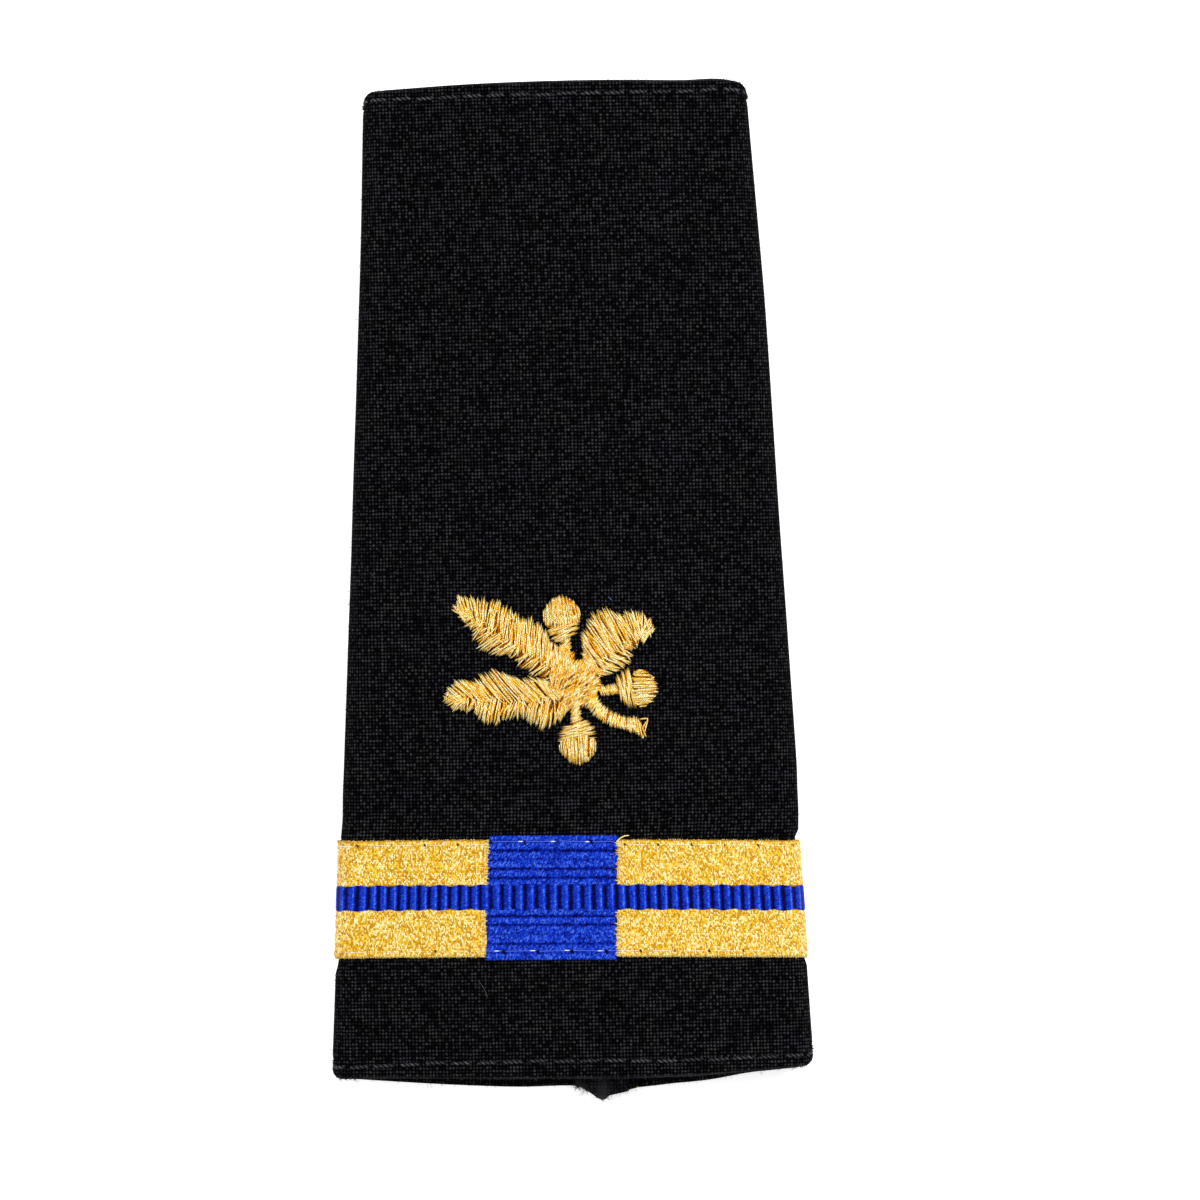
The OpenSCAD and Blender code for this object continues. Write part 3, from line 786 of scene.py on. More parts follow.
def sleeveAround():
    flat = np.linspace(0, 1, 61)
    seam = np.linspace(-2.2, 2.2, 23) / 2 * grooveShare
    back = [s for s in flat if abs(s - seamAround) > 1.1 * grooveShare]
    back = np.sort(np.concatenate([back, seamAround + seam]))
    fold = np.linspace(0, 1, 27)[:-1]
    front = np.linspace(0, 1, 141)[:-1]
    after = back[back >= seamAround - 1e-9]
    before = back[back < seamAround - 1e-9]
    return np.concatenate([after[:-1], 1 + fold, 2 + front, 3 + fold, 4 + before, [4 + seamAround]])


def sleeveThickness(station):
    inward = np.minimum(station, sleeve["length"] - station)
    step = (sleeve["hemDepth"] + sleeve["hemStep"] - inward) / sleeve["hemStep"]
    return sleeve["wall"] + sleeve["hemThickness"] * smooth(step)


def makeSleeve():  # rings round the section: both rims, the outside between them and the inside back again
    around = sleeveAround()
    full = sleeve["wall"] + sleeve["hemThickness"]
    rimTurn = np.linspace(0, math.pi, 9)
    rimIn = sleeve["rimRun"] * (1 - np.sin(rimTurn))
    rimOut = -full * (1 - np.cos(rimTurn)) / 2
    near = np.arange(0.6, 3.4, 0.22)
    body = np.linspace(3.6, sleeve["length"] - 3.6, 122)
    outer = np.concatenate([near, body, sleeve["length"] - near[::-1]])
    inner = np.concatenate([[0.9, 2.2, 4], np.linspace(5.8, 6.9, 5)])
    middle = np.linspace(9, sleeve["length"] - 9, 44)
    last = sleeve["length"] - np.array([6.9, 6.6, 6.3, 6.0, 5.8, 4, 2.2, 0.9])
    inner = np.concatenate([inner, middle, last])[::-1]
    flat = np.zeros(len(outer))
    stations = np.concatenate([rimIn[::-1], outer, sleeve["length"] - rimIn, inner])
    outs = np.concatenate([rimOut[::-1], flat, rimOut, -sleeveThickness(inner)])
    outside = np.concatenate([np.zeros(9), flat + 1, np.zeros(9 + len(inner))])
    station, place = stations[:, None], around[None, :]
    y = stationY(place, station)
    along = clothLength(place, y)
    zone, across, angle = roundParts(place)
    groove = np.where(zone == 0, np.maximum(0, 1 - np.abs(across - seamAcross) / grooveShare), 0)
    front = facing(place)
    surface = clothWaves(along, station) * lerp(sleeve["backWaves"], 1, front)
    surface = surface - sleeve["backSink"] * (1 - front) - hemSink(place, station, y)
    surface = surface - seam["grooveDepth"] * groove
    points = skin(place, y, outs[:, None] + outside[:, None] * surface)
    slide = (sleeve["rimRun"] + full / 2) / 2 * rimTurn - sleeve["rimRun"] * np.sin(rimTurn)
    slide = np.concatenate([-slide[::-1], flat, slide, np.full(len(inner), 0.11)])
    uv = np.stack([np.broadcast_to(along, y.shape), y + slide[:, None]], -1)
    uv = np.concatenate([uv, uv[:1]])
    faces = gridFaces(len(stations), len(around) - 1, True)
    # a painted highlight along the front's folded rims, patchy along them and on the front only
    rub = sleeve["rub"] * bell(rimTurn, *sleeve["rubTurn"])
    rub = np.concatenate([rub[::-1], flat, rub, np.zeros(len(inner))])[:, None]
    patchy = 0.5 + 0.3 * np.sin(0.62 * along + 1.7 * np.sin(0.23 * along)) + 0.2 * smooth((along - 4) / 6)
    rub = (rub * front * patchy)[:, :-1].reshape(-1)
    shell = makeShell(points[:, :-1].reshape(-1, 3), [faces], [gridMap(uv)], rub)
    return makePiece("sleeve_cloth", [shell], materials["cloth"], ["sleeve"])


sleeveCloth = makeSleeve()

seamFold = {
    "half": 2.8, "run": 8.0, "low": 1.24, "high": 1.88, "droop": 0.5, "droopRun": 2.4, "rim": 0.34,
    "out": 0.1, "matted": 1.5, "mattedRun": 0.6,
}


def makeSeamFold():  # the turned-in seam allowance on the back panel, which shows at the wide mouth
    past = np.linspace(-seamFold["half"], seamFold["half"], 33)
    across = seamAcross + (past + tipForm["side"]) / flatWide
    front = stationY((across + 1) / 2, np.array(0.0)) - seamFold["out"]
    turn = np.radians(np.linspace(-90, 90, 7))
    deep = [2.2, 4.5, seamFold["run"]]
    run = np.concatenate([seamFold["rim"] * (1 - np.cos(turn)), deep, deep[::-1]])
    side = np.append(np.sin(turn), [1, 1, 1, -1, -1, -1])
    thin = 1 - 0.6 * np.abs(np.linspace(-1, 1, 33)) ** 8
    thick = ((seamFold["high"] - seamFold["low"]) / 2 * thin)[:, None]
    z = seamFold["low"] + thick + side * thick - seamFold["droop"] * (1 - smooth(run / seamFold["droopRun"]))
    points = np.stack(np.broadcast_arrays((across * flatWide)[:, None], front[:, None] + run, z), -1)
    matted = np.array([1.0] * 7 + [0.3, 0, 0, 0, 0, 0.3]) * seamFold["matted"]
    matted = matted * (0.12 + 0.88 * bell(past, 0, seamFold["mattedRun"]))[:, None]
    return makePiece("seam_fold", [makeBar(points, points[..., :2], matted)], materials["cloth"])


makeSeamFold()
print("sleeve ready")


def aroundAtLength(length, y):  # the place round the section at a length along the cloth
    radius = foldRadius(y)
    flat = halfWidth(y) - radius
    size = np.abs(length)
    past = size - flat
    behind = past - math.pi * radius
    right = np.select(
        [size <= flat, behind <= 0],
        [2.5 - 0.5 * size / flat, 2 - past / (math.pi * radius)],
        1 - behind / flat / 2,
    )
    return np.where(length >= 0, right, 5 - right)


def outward(around, y, out):
    return unit(skin(around, y, out + 0.01) - skin(around, y, out))


def makeHemStitches(name, mouth):
    line = hem[mouth]
    base = 0.0 if mouth == "wide" else sleeve["length"]
    y = float(stationY(np.array(2.5), base))
    radius = foldRadius(y)
    reach = 2 * (halfWidth(y) - radius) + math.pi * radius - seam["x"] - hem["seamMargin"]
    centres = (np.arange(-40, 40) + line["phase"]) * line["pitch"]
    centres = centres[np.abs(centres) < reach][:, None]
    share = np.linspace(-0.5, 0.5, 33)
    stitch = line["pitch"] * hem["stitchShare"]
    around = aroundAtLength(centres + share * stitch * chance.uniform(*hem["uneven"], centres.shape), y)
    arch = lerp(hem["backArch"], hem["arch"] * (1 - (2 * share) ** 6), facing(around))
    drift = chance.uniform(-hem["drift"], hem["drift"], centres.shape) + hem["slant"] * share
    stitchY = stationY(around, np.abs(base - hemLine(around, mouth))) + drift
    paths = skin(around, stitchY, arch - hem["endDip"] * np.abs(2 * share) ** 8)
    up = outward(around, stitchY, 0.0)
    side = np.cross(unit(np.gradient(paths, axis=1)), up)
    phase = chance.uniform(0, math.tau, centres.shape)
    shells = []
    for ply in range(2):
        turn = (math.tau * share * stitch / hem["twist"] + phase + math.pi * ply)[..., None]
        wound = paths + hem["plyOffset"] * (hem["flatten"] * np.cos(turn) * up + np.sin(turn) * side)
        strand = (0.5 + 0.5 * np.cos(turn[..., 0])) * chance.uniform(0.7, 1, centres.shape)
        shells.append(makeTubes(wound, up, hem["plyRadius"], 6, strand, hem["flatten"]))
    return makePiece(name, shells, materials["black"])


# At the seam's end: how many fibres, and where from and to beside its point
fuzz = {
    "folds": 900, "rims": 700, "faces": 500, "seam": ((70, -2.9, 3.0), (60, -0.6, 0.7), (300, -2.9, -1.5)),
    "length": (0.12, 0.42), "seamLength": (0.3, 1.1), "rimTurn": (0.2, 2.6), "radius": 0.018, "curl": 0.3,
    "rooted": 0.03, "spread": 0.6, "rimSpread": 0.5,
}


def growFibres(roots, ways, lengths):
    count = len(roots)
    share = np.linspace(0, 1, 5)[None, :, None]
    ways = unit(ways)
    bend = chance.normal(0, 1, (count, 3)) * fuzz["curl"]
    paths = roots[:, None] + lengths[:, None, None] * (ways[:, None] * share + bend[:, None] * share**2)
    paths[..., 2] = np.maximum(paths[..., 2], fuzz["radius"])
    up = np.cross(ways, chance.normal(0, 1, (count, 3)))[:, None] * np.ones((1, 5, 1))
    return makeTubes(paths, up, fuzz["radius"], 3, chance.uniform(0, 1, count))


def makeFuzz():  # loose fibres on the folds, along both mouths, round the seam's end and, fewer, on the faces
    shells = []
    for count, zones in ((fuzz["folds"], (1, 3)), (fuzz["faces"], (2,))):
        around = chance.choice(zones, count) + chance.uniform(0, 1, count)
        y = stationY(around, chance.uniform(0.5, sleeve["length"] - 0.5, count))
        roots = skin(around, y, -fuzz["rooted"])
        ways = outward(around, y, 0.0) * chance.uniform(0.1, 1, (count, 1))
        ways = ways + chance.normal(0, fuzz["spread"], (count, 3))
        shells.append(growFibres(roots, ways, chance.uniform(*fuzz["length"], count)))
    for station, side in ((0.0, -1), (sleeve["length"], 1)):
        count = fuzz["rims"] // 2
        around = chance.uniform(0, 4, count)
        turn = chance.uniform(*fuzz["rimTurn"], count)
        place = station - side * sleeve["rimRun"] * (1 - np.sin(turn))
        roots = skin(around, stationY(around, place), -0.6 * (1 - np.cos(turn)) - fuzz["rooted"])
        ways = chance.normal(0, fuzz["rimSpread"], (count, 3))
        ways[:, 1] += side * chance.uniform(0.3, 1, count)
        shells.append(growFibres(roots, ways, chance.uniform(*fuzz["length"], count)))
    past = np.concatenate([chance.uniform(left, right, count) for count, left, right in fuzz["seam"]])
    count = len(past)
    across = seamAcross + (past + tipForm["side"]) / flatWide
    y = stationY((across + 1) / 2, np.array(0.0)) + chance.uniform(-0.1, 0.9, count)
    roots = np.stack([across * flatWide, y, chance.uniform(0.9, 1.6, count)], -1)
    ways = chance.normal(0, fuzz["spread"], (count, 3))
    ways[:, 1] -= chance.uniform(0, 0.7, count)
    lengths = chance.uniform(*fuzz["seamLength"], count) * chance.uniform(0.4, 1, count)
    shells.append(growFibres(roots, ways, lengths))
    return makePiece("loose_fibres", shells, materials["blackLint"])


makeFuzz()

hemPieces = [
    makeHemStitches("hem_stitches_wide", "wide"),
    makeHemStitches("hem_stitches_narrow", "narrow"),
]
print("hem stitches ready")


def stripeLine(x):
    tilt = math.tan(math.radians(stripe["skew"]))
    return stripeY - x * tilt + stripe["arch"] * (1 - (x / halfWidth(stripeY)) ** 2)


def trimPoint(along, over, out):  # from the length along the cloth and the way up from the stripe's line
    around = aroundAtLength(along, stripeY)
    x = skin(around, stripeY, 0)[..., 0]
    return skin(around, stripeLine(x) + over, out)


# How far each trim lies over the stripe's middle line, how tall it shows, and how its cut ends lean
trim = {
    "lace": 0.14, "break": 0.19, "line": 0.27, "laceHeight": 12.38, "breakHeight": 13.18, "lineHeight": 2.56,
    "lean": 0.04, "turnedIn": 0.05,
}
stripeFlat = halfWidth(stripeY) - foldRadius(stripeY)
stripeFold = math.pi * foldRadius(stripeY)
breakLeft = stripe["breakX"] - stripe["breakWidth"] / 2
breakRight = stripe["breakX"] + stripe["breakWidth"] / 2
seamRight = 2 * stripeFlat + stripeFold - (seamAcross + grooveShare) * stripeFlat
seamLeft = -(2 * stripeFlat + stripeFold) - (seamAcross - grooveShare) * stripeFlat


def makeStrip(lengths, across, outs, strand, ends, over):
    # lengths along the cloth, a closed section of (across, out) points, and how far over the line it lies
    along = lengths[:, None] + ends
    uv = np.stack(np.broadcast_arrays(along, across), -1)
    return makeBar(trimPoint(along, across + over, outs), uv, strand)


laceForm = {
    "edge": 0.3, "edgeShare": 0.55, "rough": 0.09, "ribDepth": 0.012, "step": 0.3, "wander": 0.07,
    "channel": 0.22, "channelHalf": 1.3, "channelEdge": 0.12, "endGap": 0.03, "frays": 30,
    "frayRadius": 0.055,
}
loops = {
    "radius": 0.075, "root": 0.25, "reach": (-0.03, 0.09), "height": 0.2, "swing": 0.13, "lean": 0.12,
    "open": 0.9, "jitter": 0.03,
}
lineForm = {
    "seat": 0.3, "top": 0.54, "wave": 0.09, "anchor": -8.27,
    "pitchPlaces": (-8.9, -8.7, 4.9, 5.2, 15.0, 16.0), "pitches": (1.08, 1.212, 1.212, 1.123, 1.123, 1.065),
    "ribPlaces": (0.0, 0.09, 0.15, 0.22, 0.32, 0.42, 0.52, 0.64, 0.76, 0.84, 0.91),
    # the shares below paint light and shade across each rib: dark in the gap between ribs, lightest on the
    # lit crest
    "ribShades": (0.25, 0.27, 0.34, 0.54, 0.82, 1.16, 0.92, 0.84, 0.82, 0.74, 0.5),
}


def edgeFall(across, half):  # 1 over the strip, less at its rounded edges
    inward = np.clip((half - np.abs(across)) / laceForm["edge"], 0, 1)
    return lerp(laceForm["edgeShare"], 1, np.sqrt(1 - (1 - inward) ** 2))


def lineChannel(across, name):  # the line lies in a shallow channel of what it crosses
    away = np.abs(across + trim[name] - trim["line"])
    return laceForm["channel"] * smooth((laceForm["channelHalf"] - away) / laceForm["channelEdge"])


def closeSection(top, relief, name):  # a trim's top with its relief, then its flat foot
    rise = stripe["seatGap"] + stripe["thickness"] * edgeFall(top, top[-1]) - relief - lineChannel(top, name)
    across = np.append(top, np.linspace(top[-1], top[0], 4))
    return across, np.append(rise, np.full(4, stripe["seatGap"]))


def nearCut(lengths, cut):  # 1 at a cut end, 0 from 2 mm away
    return smooth(1 - np.abs(lengths - cut) / 2)[:, None]


def turnedIn(across):  # the lower corner at the break's left edge is turned in a little
    return trim["turnedIn"] * np.maximum(-1 - across, 0)


def makeLoops(first, last, side):  # the threads' turns along one edge of the lace
    spots = np.arange(first + 0.2, last - 0.1, 2 * lace["threadPitch"])
    bend = np.linspace(-loops["open"], math.pi + loops["open"], 8)
    spot = (spots + chance.uniform(-loops["jitter"], loops["jitter"], len(spots)))[:, None]
    reach = chance.uniform(*loops["reach"], (len(spots), 1))
    over = trim["laceHeight"] / 2 - loops["root"] + (loops["root"] + reach) * np.sin(bend)
    over = trim["lace"] + side * over
    along = spot + loops["lean"] * (bend / math.pi - 0.5)
    out = stripe["seatGap"] + loops["height"] + loops["swing"] * np.cos(bend)
    paths = trimPoint(along, over, out)
    up = trimPoint(along + 0.05, over, out) - paths
    return makeTubes(paths, up, loops["radius"], 5, chance.uniform(0.2, 1, len(spots)))


def makeLace(name, start, end, node, cutEnd):
    half = trim["laceHeight"] / 2
    lengths = np.linspace(start, end, int(abs(end - start) / laceForm["step"]) + 1)
    top = np.linspace(-half, half, 106)
    ribs = laceForm["ribDepth"] * (1 - np.abs(np.sin(math.pi * top / 2 / lace["cordPitch"])))
    across, outs = closeSection(top, ribs, "lace")
    wander = laceForm["wander"] * np.sin(across * 1.7 + 0.4 * start) + trim["lean"] * across
    if cutEnd < stripe["breakX"]:
        wander = wander + turnedIn(across)
    folded = smooth((np.abs(lengths) - stripeFlat) / 1.5)[:, None]
    rough = laceForm["rough"] * folded * chance.uniform(-1, 1, (len(lengths), len(across)))
    rough[:, len(top):] = 0
    shells = [makeStrip(lengths, across, outs + rough, 0.6, wander * nearCut(lengths, cutEnd), trim["lace"])]
    for side in (-1, 1):
        shells.append(makeLoops(min(start, end), max(start, end), side))
    return makePiece(name, shells, materials["lace"], [node])


gap = laceForm["endGap"]
laceRight = makeLace("lace_right_woven", seamRight, breakRight + gap, "lace_right", breakRight)
laceLeft = makeLace("lace_left_woven", breakLeft - gap, seamLeft, "lace_left", breakLeft)


def makeFrays():  # loose gold ends where the lace is cut at the break
    half = laceForm["frays"] // 2
    count = 2 * half
    share = np.linspace(0, 1, 6)
    shells = []
    for cut, way in ((breakLeft, 1), (breakRight, -1)):
        across = np.linspace(1.55, trim["laceHeight"] / 2 - 0.1, half)
        across = (np.append(across, -across) + chance.uniform(-0.08, 0.08, count))[:, None]
        start = chance.uniform(0.25, 0.6, (count, 1))
        reach = chance.uniform(-0.02, 0.26, (count, 1))
        lengths = cut + trim["lean"] * across - way * start + way * (start + reach) * share
        lean = chance.normal(0, 0.12, (count, 1)) * share**2
        out = 0.5 + 0.03 * np.sin(math.pi * share) - 0.05 * share**3
        paths = trimPoint(lengths, trim["lace"] + across + lean, out)
        shells.append(makeTubes(paths, upward, laceForm["frayRadius"], 5, chance.uniform(0.3, 1, count)))
    return makePiece("lace_frays", shells, materials["gold"])


makeFrays()
# Stray bits: material, slot, radius, height over the front's crown line, and the points that each passes
strays = {
    "lint_blue": ("blueLint", "cloth", 0.035, 0.06, [(4.72, -0.62), (4.9, -0.7), (5.0, -0.86)]),
    "lint_pale": (
        "blackLint", "cloth", 0.022, 0.12, [(-9.82, -40.9), (-9.3, -41.6), (-9.05, -42.2), (-8.89, -42.72)]
    ),
    "lint_gold": (
        "goldLint", "gold_lace", 0.06, 0.6, [(5.02, -26.5), (5.4, -26.1), (5.9, -25.85), (6.41, -25.8)]
    ),
    "lint_yellow": ("goldLint", "cloth", 0.06, -6.2, [(6.78, -52.85), (6.86, -52.8), (6.95, -52.84)]),
}


def pointsAt(spots, run, places):  # points on the line through the spots, which lie at the distances in run
    return np.stack([np.interp(places, run, spots[:, 0]), np.interp(places, run, spots[:, 1])], -1)


def runOf(spots):
    return np.append(0, np.cumsum(np.linalg.norm(np.diff(spots, axis=0), axis=1)))


def makeStray(name):
    material, slot, radius, height, spots = strays[name]
    x, y = pointsAt(np.array(spots), np.arange(len(spots)), np.linspace(0, len(spots) - 1, 14)).T
    path = np.stack([x, y, frontZ(x, y) + height], -1)[None]
    return makePiece(name, [makeTubes(path, upward, radius, 5, 0.9)], materials[material])


for stray in strays:
    makeStray(stray)
print("lace ready")


# The break's dips between its ribs: place over its middle, and depth
breakDips = [
    (5.94, 0.4), (4.98, 1.0), (4.02, 0.4), (3.07, 1.0), (2.12, 0.9), (-1.95, 1.0), (-2.86, 0.9),
    (-3.83, 0.35), (-4.86, 0.75), (-5.75, 0.35),
]


def makeBreak():
    half = trim["breakHeight"] / 2
    lengths = np.linspace(breakLeft, breakRight, 60)
    top = np.linspace(-half, half, 151)
    ridge = 1 - sum(depth * bell(top, place, 0.14) for place, depth in breakDips)
    across, outs = closeSection(top, stripe["ribDip"] * (1 - ridge), "break")
    # ridges painted lighter and dips painted darker, as light and shade
    strand = np.append(0.4 + 0.48 * np.clip(ridge, 0, 1), np.ones(4))
    nearLeft, nearRight = nearCut(lengths, breakLeft), nearCut(lengths, breakRight)
    wander = 0.1 * np.sin(across * 1.31) * nearLeft + 0.1 * np.sin(across * 1.31 + 2.4) * nearRight
    wander = wander + trim["lean"] * across + turnedIn(across) * nearLeft
    shell = makeStrip(lengths, across, outs, strand, wander, trim["break"])
    return makePiece("blue_break_woven", [shell], materials["break"], ["blue_break"])


blueBreak = makeBreak()


def makeLine():
    fine = np.linspace(seamLeft, seamRight, 1200)
    pitch = np.interp(fine, lineForm["pitchPlaces"], lineForm["pitches"])
    turns = np.cumsum((fine[1] - fine[0]) / pitch)
    turns = turns - np.interp(lineForm["anchor"], fine, turns)
    first, last = round(turns[0]), round(turns[-1])
    turns = np.where(turns < 0, turns * first / turns[0], turns * last / turns[-1])
    ribs = last - first
    share = np.tile(lineForm["ribPlaces"], ribs)
    index = np.repeat(np.arange(ribs), len(lineForm["ribPlaces"]))
    lengths = np.append(np.interp(last - index - share, turns, fine), seamLeft)
    ridge = np.append(np.clip(np.sin(math.pi * share) * 1.9 - 0.75, 0, 1) ** 0.7, 0)
    wave = np.append(np.cos(math.pi * (index + share)), 0)
    jitter = np.append(chance.uniform(-0.03, 0.03, ribs)[index], 0)
    half = trim["lineHeight"] / 2 + lineForm["wave"] * wave + jitter
    section = np.array([-1, -0.99, -0.93, -0.8, -0.45, 0, 0.45, 0.8, 0.93, 0.99, 1, 0.9, 0, -0.9])
    form = np.array([0.0, 0.5, 0.8, 0.95, 1, 1, 1, 0.95, 0.8, 0.5, 0.0, 0, 0, 0])
    across = half[:, None] * section[None, :]
    low = np.array([0.17] * 11 + [0, 0, 0]) + lineForm["seat"]
    top = lineForm["top"] - stripe["ribDip"] * 1.3 * (1 - ridge[:, None])
    outs = lerp(low[None, :], np.maximum(top, low[None, :]), form[None, :])
    # the painted light and shade of each rib, carried in the strand value
    strand = np.append(np.tile(lineForm["ribShades"], ribs), 0.4)[:, None] * np.ones(len(section))
    shell = makeStrip(lengths, across, outs, strand, 0.0, trim["line"])
    return makePiece("blue_line_ribbed", [shell], materials["line"], ["blue_line"])


makeLine()
print("blue ribbons ready")


def makeClearStitches():
    shells = []
    spacing = needle["spacing"]
    share = np.linspace(0, 1, 13)
    for side in (-1, 1):
        first = math.ceil(seamLeft / spacing + 1) * spacing + needle["phase"] - side * needle["shear"]
        starts = np.arange(first, seamRight - spacing, spacing)[:, None]
        lengths = starts + share * spacing
        lean = chance.uniform(-clearYarn["tilt"], clearYarn["tilt"], starts.shape) * (share - 0.5)
        onBreak = smooth(stripe["breakWidth"] / 2 + 0.5 - np.abs(lengths - stripe["breakX"]))
        over = side * needle["inset"] + needle["rise"] + trim["lace"] + lean
        over = over + onBreak * clearYarn["breakRise"] * (0.5 + 0.5 * side)
        rise = stripe["seatGap"] + stripe["thickness"] + clearYarn["arch"] * (1 - (2 * share - 1) ** 8)
        out = rise - clearYarn["endDip"] * np.abs(2 * share - 1) ** 12
        paths = trimPoint(lengths, over, out)
        up = trimPoint(lengths, over, out + 0.05) - paths
        radius = lerp(clearYarn["thin"], clearYarn["radius"], onBreak)
        strand = chance.uniform(0.05, 1, starts.shape) * np.where(onBreak > 0.5, 1, -1)
        shells.append(makeTubes(paths, up, radius, clearYarn["sides"], strand))
    return makePiece("clear_stitches", shells, materials["clear"])


makeClearStitches()

sprig = {
    "width": 22.8, "up": 22.15, "x": 1.8, "leafHeight": 0.9, "acornHeight": 1.1, "twigHeight": 0.7,
    "cupLength": 0.075, "gap": 0.15, "threadRadius": 0.085, "spacing": 0.178, "raggedEnd": 0.28,
    "padShare": 0.62, "padInset": 0.65, "floor": 0.02,
}
# The lower and the upper layer of threads: spacing and height beside the usual, then how far a leaf's
# stitches cross its midrib and stop short of its edge, or how ragged the other pieces' ends are
layers = {
    "leaf": ((1.1, 0.86, 0.5, 0.45), (1.0, 1.0, 0.9, 0.0)),
    "crossed": ((1.0, 0.86, 0.05), (0.8, 1.0, 0.2)),
    "nut": ((1.1, 0.88, 0.1), (1.0, 1.0, 0.4)),
}
sprigY = stripeY + sprig["up"]
# An outline in shares of the sprig's width: place along the midrib, reach to its left and reach to its right
leafRows = {
    "leaf_upper": [
        (0, 0.03, 0.025), (0.08, 0.04, 0.066), (0.15, 0.048, 0.096), (0.22, 0.062, 0.108),
        (0.29, 0.072, 0.106), (0.36, 0.072, 0.13), (0.43, 0.06, 0.152), (0.5, 0.05, 0.15),
        (0.53, 0.06, 0.136), (0.57, 0.084, 0.134), (0.61, 0.094, 0.128), (0.68, 0.103, 0.133),
        (0.75, 0.074, 0.132), (0.81, 0.051, 0.118), (0.88, 0.036, 0.097), (0.95, 0.032, 0.076),
        (1, 0.012, 0.046),
    ],
    "leaf_lower": [
        (0, 0.02, 0.045), (0.06, 0.062, 0.06), (0.11, 0.098, 0.074), (0.15, 0.114, 0.08),
        (0.2, 0.126, 0.094), (0.28, 0.138, 0.106), (0.33, 0.122, 0.106), (0.37, 0.092, 0.104),
        (0.42, 0.074, 0.102), (0.45, 0.086, 0.106), (0.5, 0.08, 0.122), (0.57, 0.104, 0.134),
        (0.65, 0.114, 0.144), (0.71, 0.098, 0.128), (0.77, 0.054, 0.096), (0.82, 0.056, 0.087),
        (0.88, 0.054, 0.09), (0.94, 0.062, 0.08), (1, 0.008, 0.024),
    ],
    "leaf_right": [
        (0, 0.018, 0.018), (0.1, 0.048, 0.034), (0.2, 0.106, 0.044), (0.3, 0.164, 0.066),
        (0.4, 0.189, 0.07), (0.5, 0.21, 0.072), (0.6, 0.211, 0.062), (0.67, 0.192, 0.028),
        (0.73, 0.144, 0.012), (0.8, 0.134, 0.002), (0.88, 0.128, 0.002), (0.95, 0.092, 0.01),
        (1, 0.062, 0.008),
    ],
}
cupRows = [(0, 0.044, 0.052), (0.25, 0.06, 0.066), (0.6, 0.076, 0.078), (1, 0.083, 0.083)]
nutRows = [
    (0, 0.079, 0.079), (0.2, 0.089, 0.089), (0.5, 0.086, 0.086), (0.75, 0.069, 0.069), (0.92, 0.046, 0.046),
    (1, 0.022, 0.022),
]
twigRows = [(0, 0.02, 0.02), (0.5, 0.021, 0.021), (1, 0.024, 0.024)]
stemRows = [
    (0, 0.012, 0.03), (0.12, 0.034, 0.034), (0.3, 0.028, 0.033), (0.5, 0.035, 0.026), (0.75, 0.038, 0.018),
    (0.9, 0.044, 0.03), (1, 0.04, 0.05),
]


def leftOf(way):
    return np.stack([-way[..., 1], way[..., 0]], -1)


def makeOutline(start, end, bend, rows, height):
    start = np.array(start) * sprig["width"]
    way = np.array(end) * sprig["width"] - start
    return {
        "start": start, "way": way, "bow": leftOf(way) * bend * 4, "length": np.linalg.norm(way),
        "rows": np.array(rows), "height": height,
    }


def midrib(form, along):
    along = np.asarray(along, float)[..., None]
    return form["start"] + form["way"] * along + form["bow"] * along * (1 - along)


def reachAt(form, along, side):  # side 1 is left of the midrib, -1 is right
    column = form["rows"][:, 1 if side > 0 else 2] * sprig["width"]
    return np.interp(along, form["rows"][:, 0], column)


def spotAt(form, along, across):  # across in millimetres, positive to the left
    turned = form["way"] + form["bow"] * (1 - 2 * np.asarray(along, float)[..., None])
    return midrib(form, along) + unit(leftOf(turned)) * np.asarray(across, float)[..., None]


def fullHeight(form, along):
    return form["height"] * (1 - 0.45 * np.abs(2 * np.clip(along, 0, 1) - 1) ** 4)


def raise2d(spots, height):
    x = sprig["x"] + sideShift(sprigY) + spots[..., 0]
    y = sprigY + spots[..., 1]
    return np.stack([x, y, frontZ(x, y) + stripe["seatGap"] + height], -1)


satin = {
    "rootSpread": 0.4, "short": 0.35, "shortened": (0.12, 0.45), "tipFan": 1.3, "clump": 0.55,
    "single": (-0.7, 0.8), "bow": 0.05, "lift": 0.05, "crossLean": (-0.2, 1.6), "crossEnds": (-0.3, 1),
    "crossLift": 0.03, "nutFan": 0.12, "nutLift": 0.03,
}


def makeStitches(paths, lower=False):
    # threads of the lower layer take its painted shade, and those with a strand value near 0 the painted
    # shadow
    strand = chance.uniform(0.02, 1, len(paths)) * (-1 if lower else 1)
    return makeTubes(paths, upward, sprig["threadRadius"], 5, strand)


def unevenPlaces(length, spacing):
    places = np.cumsum(spacing * chance.uniform(0.5, 1.5, int(length / spacing * 1.3) + 3))
    return places[places < length]


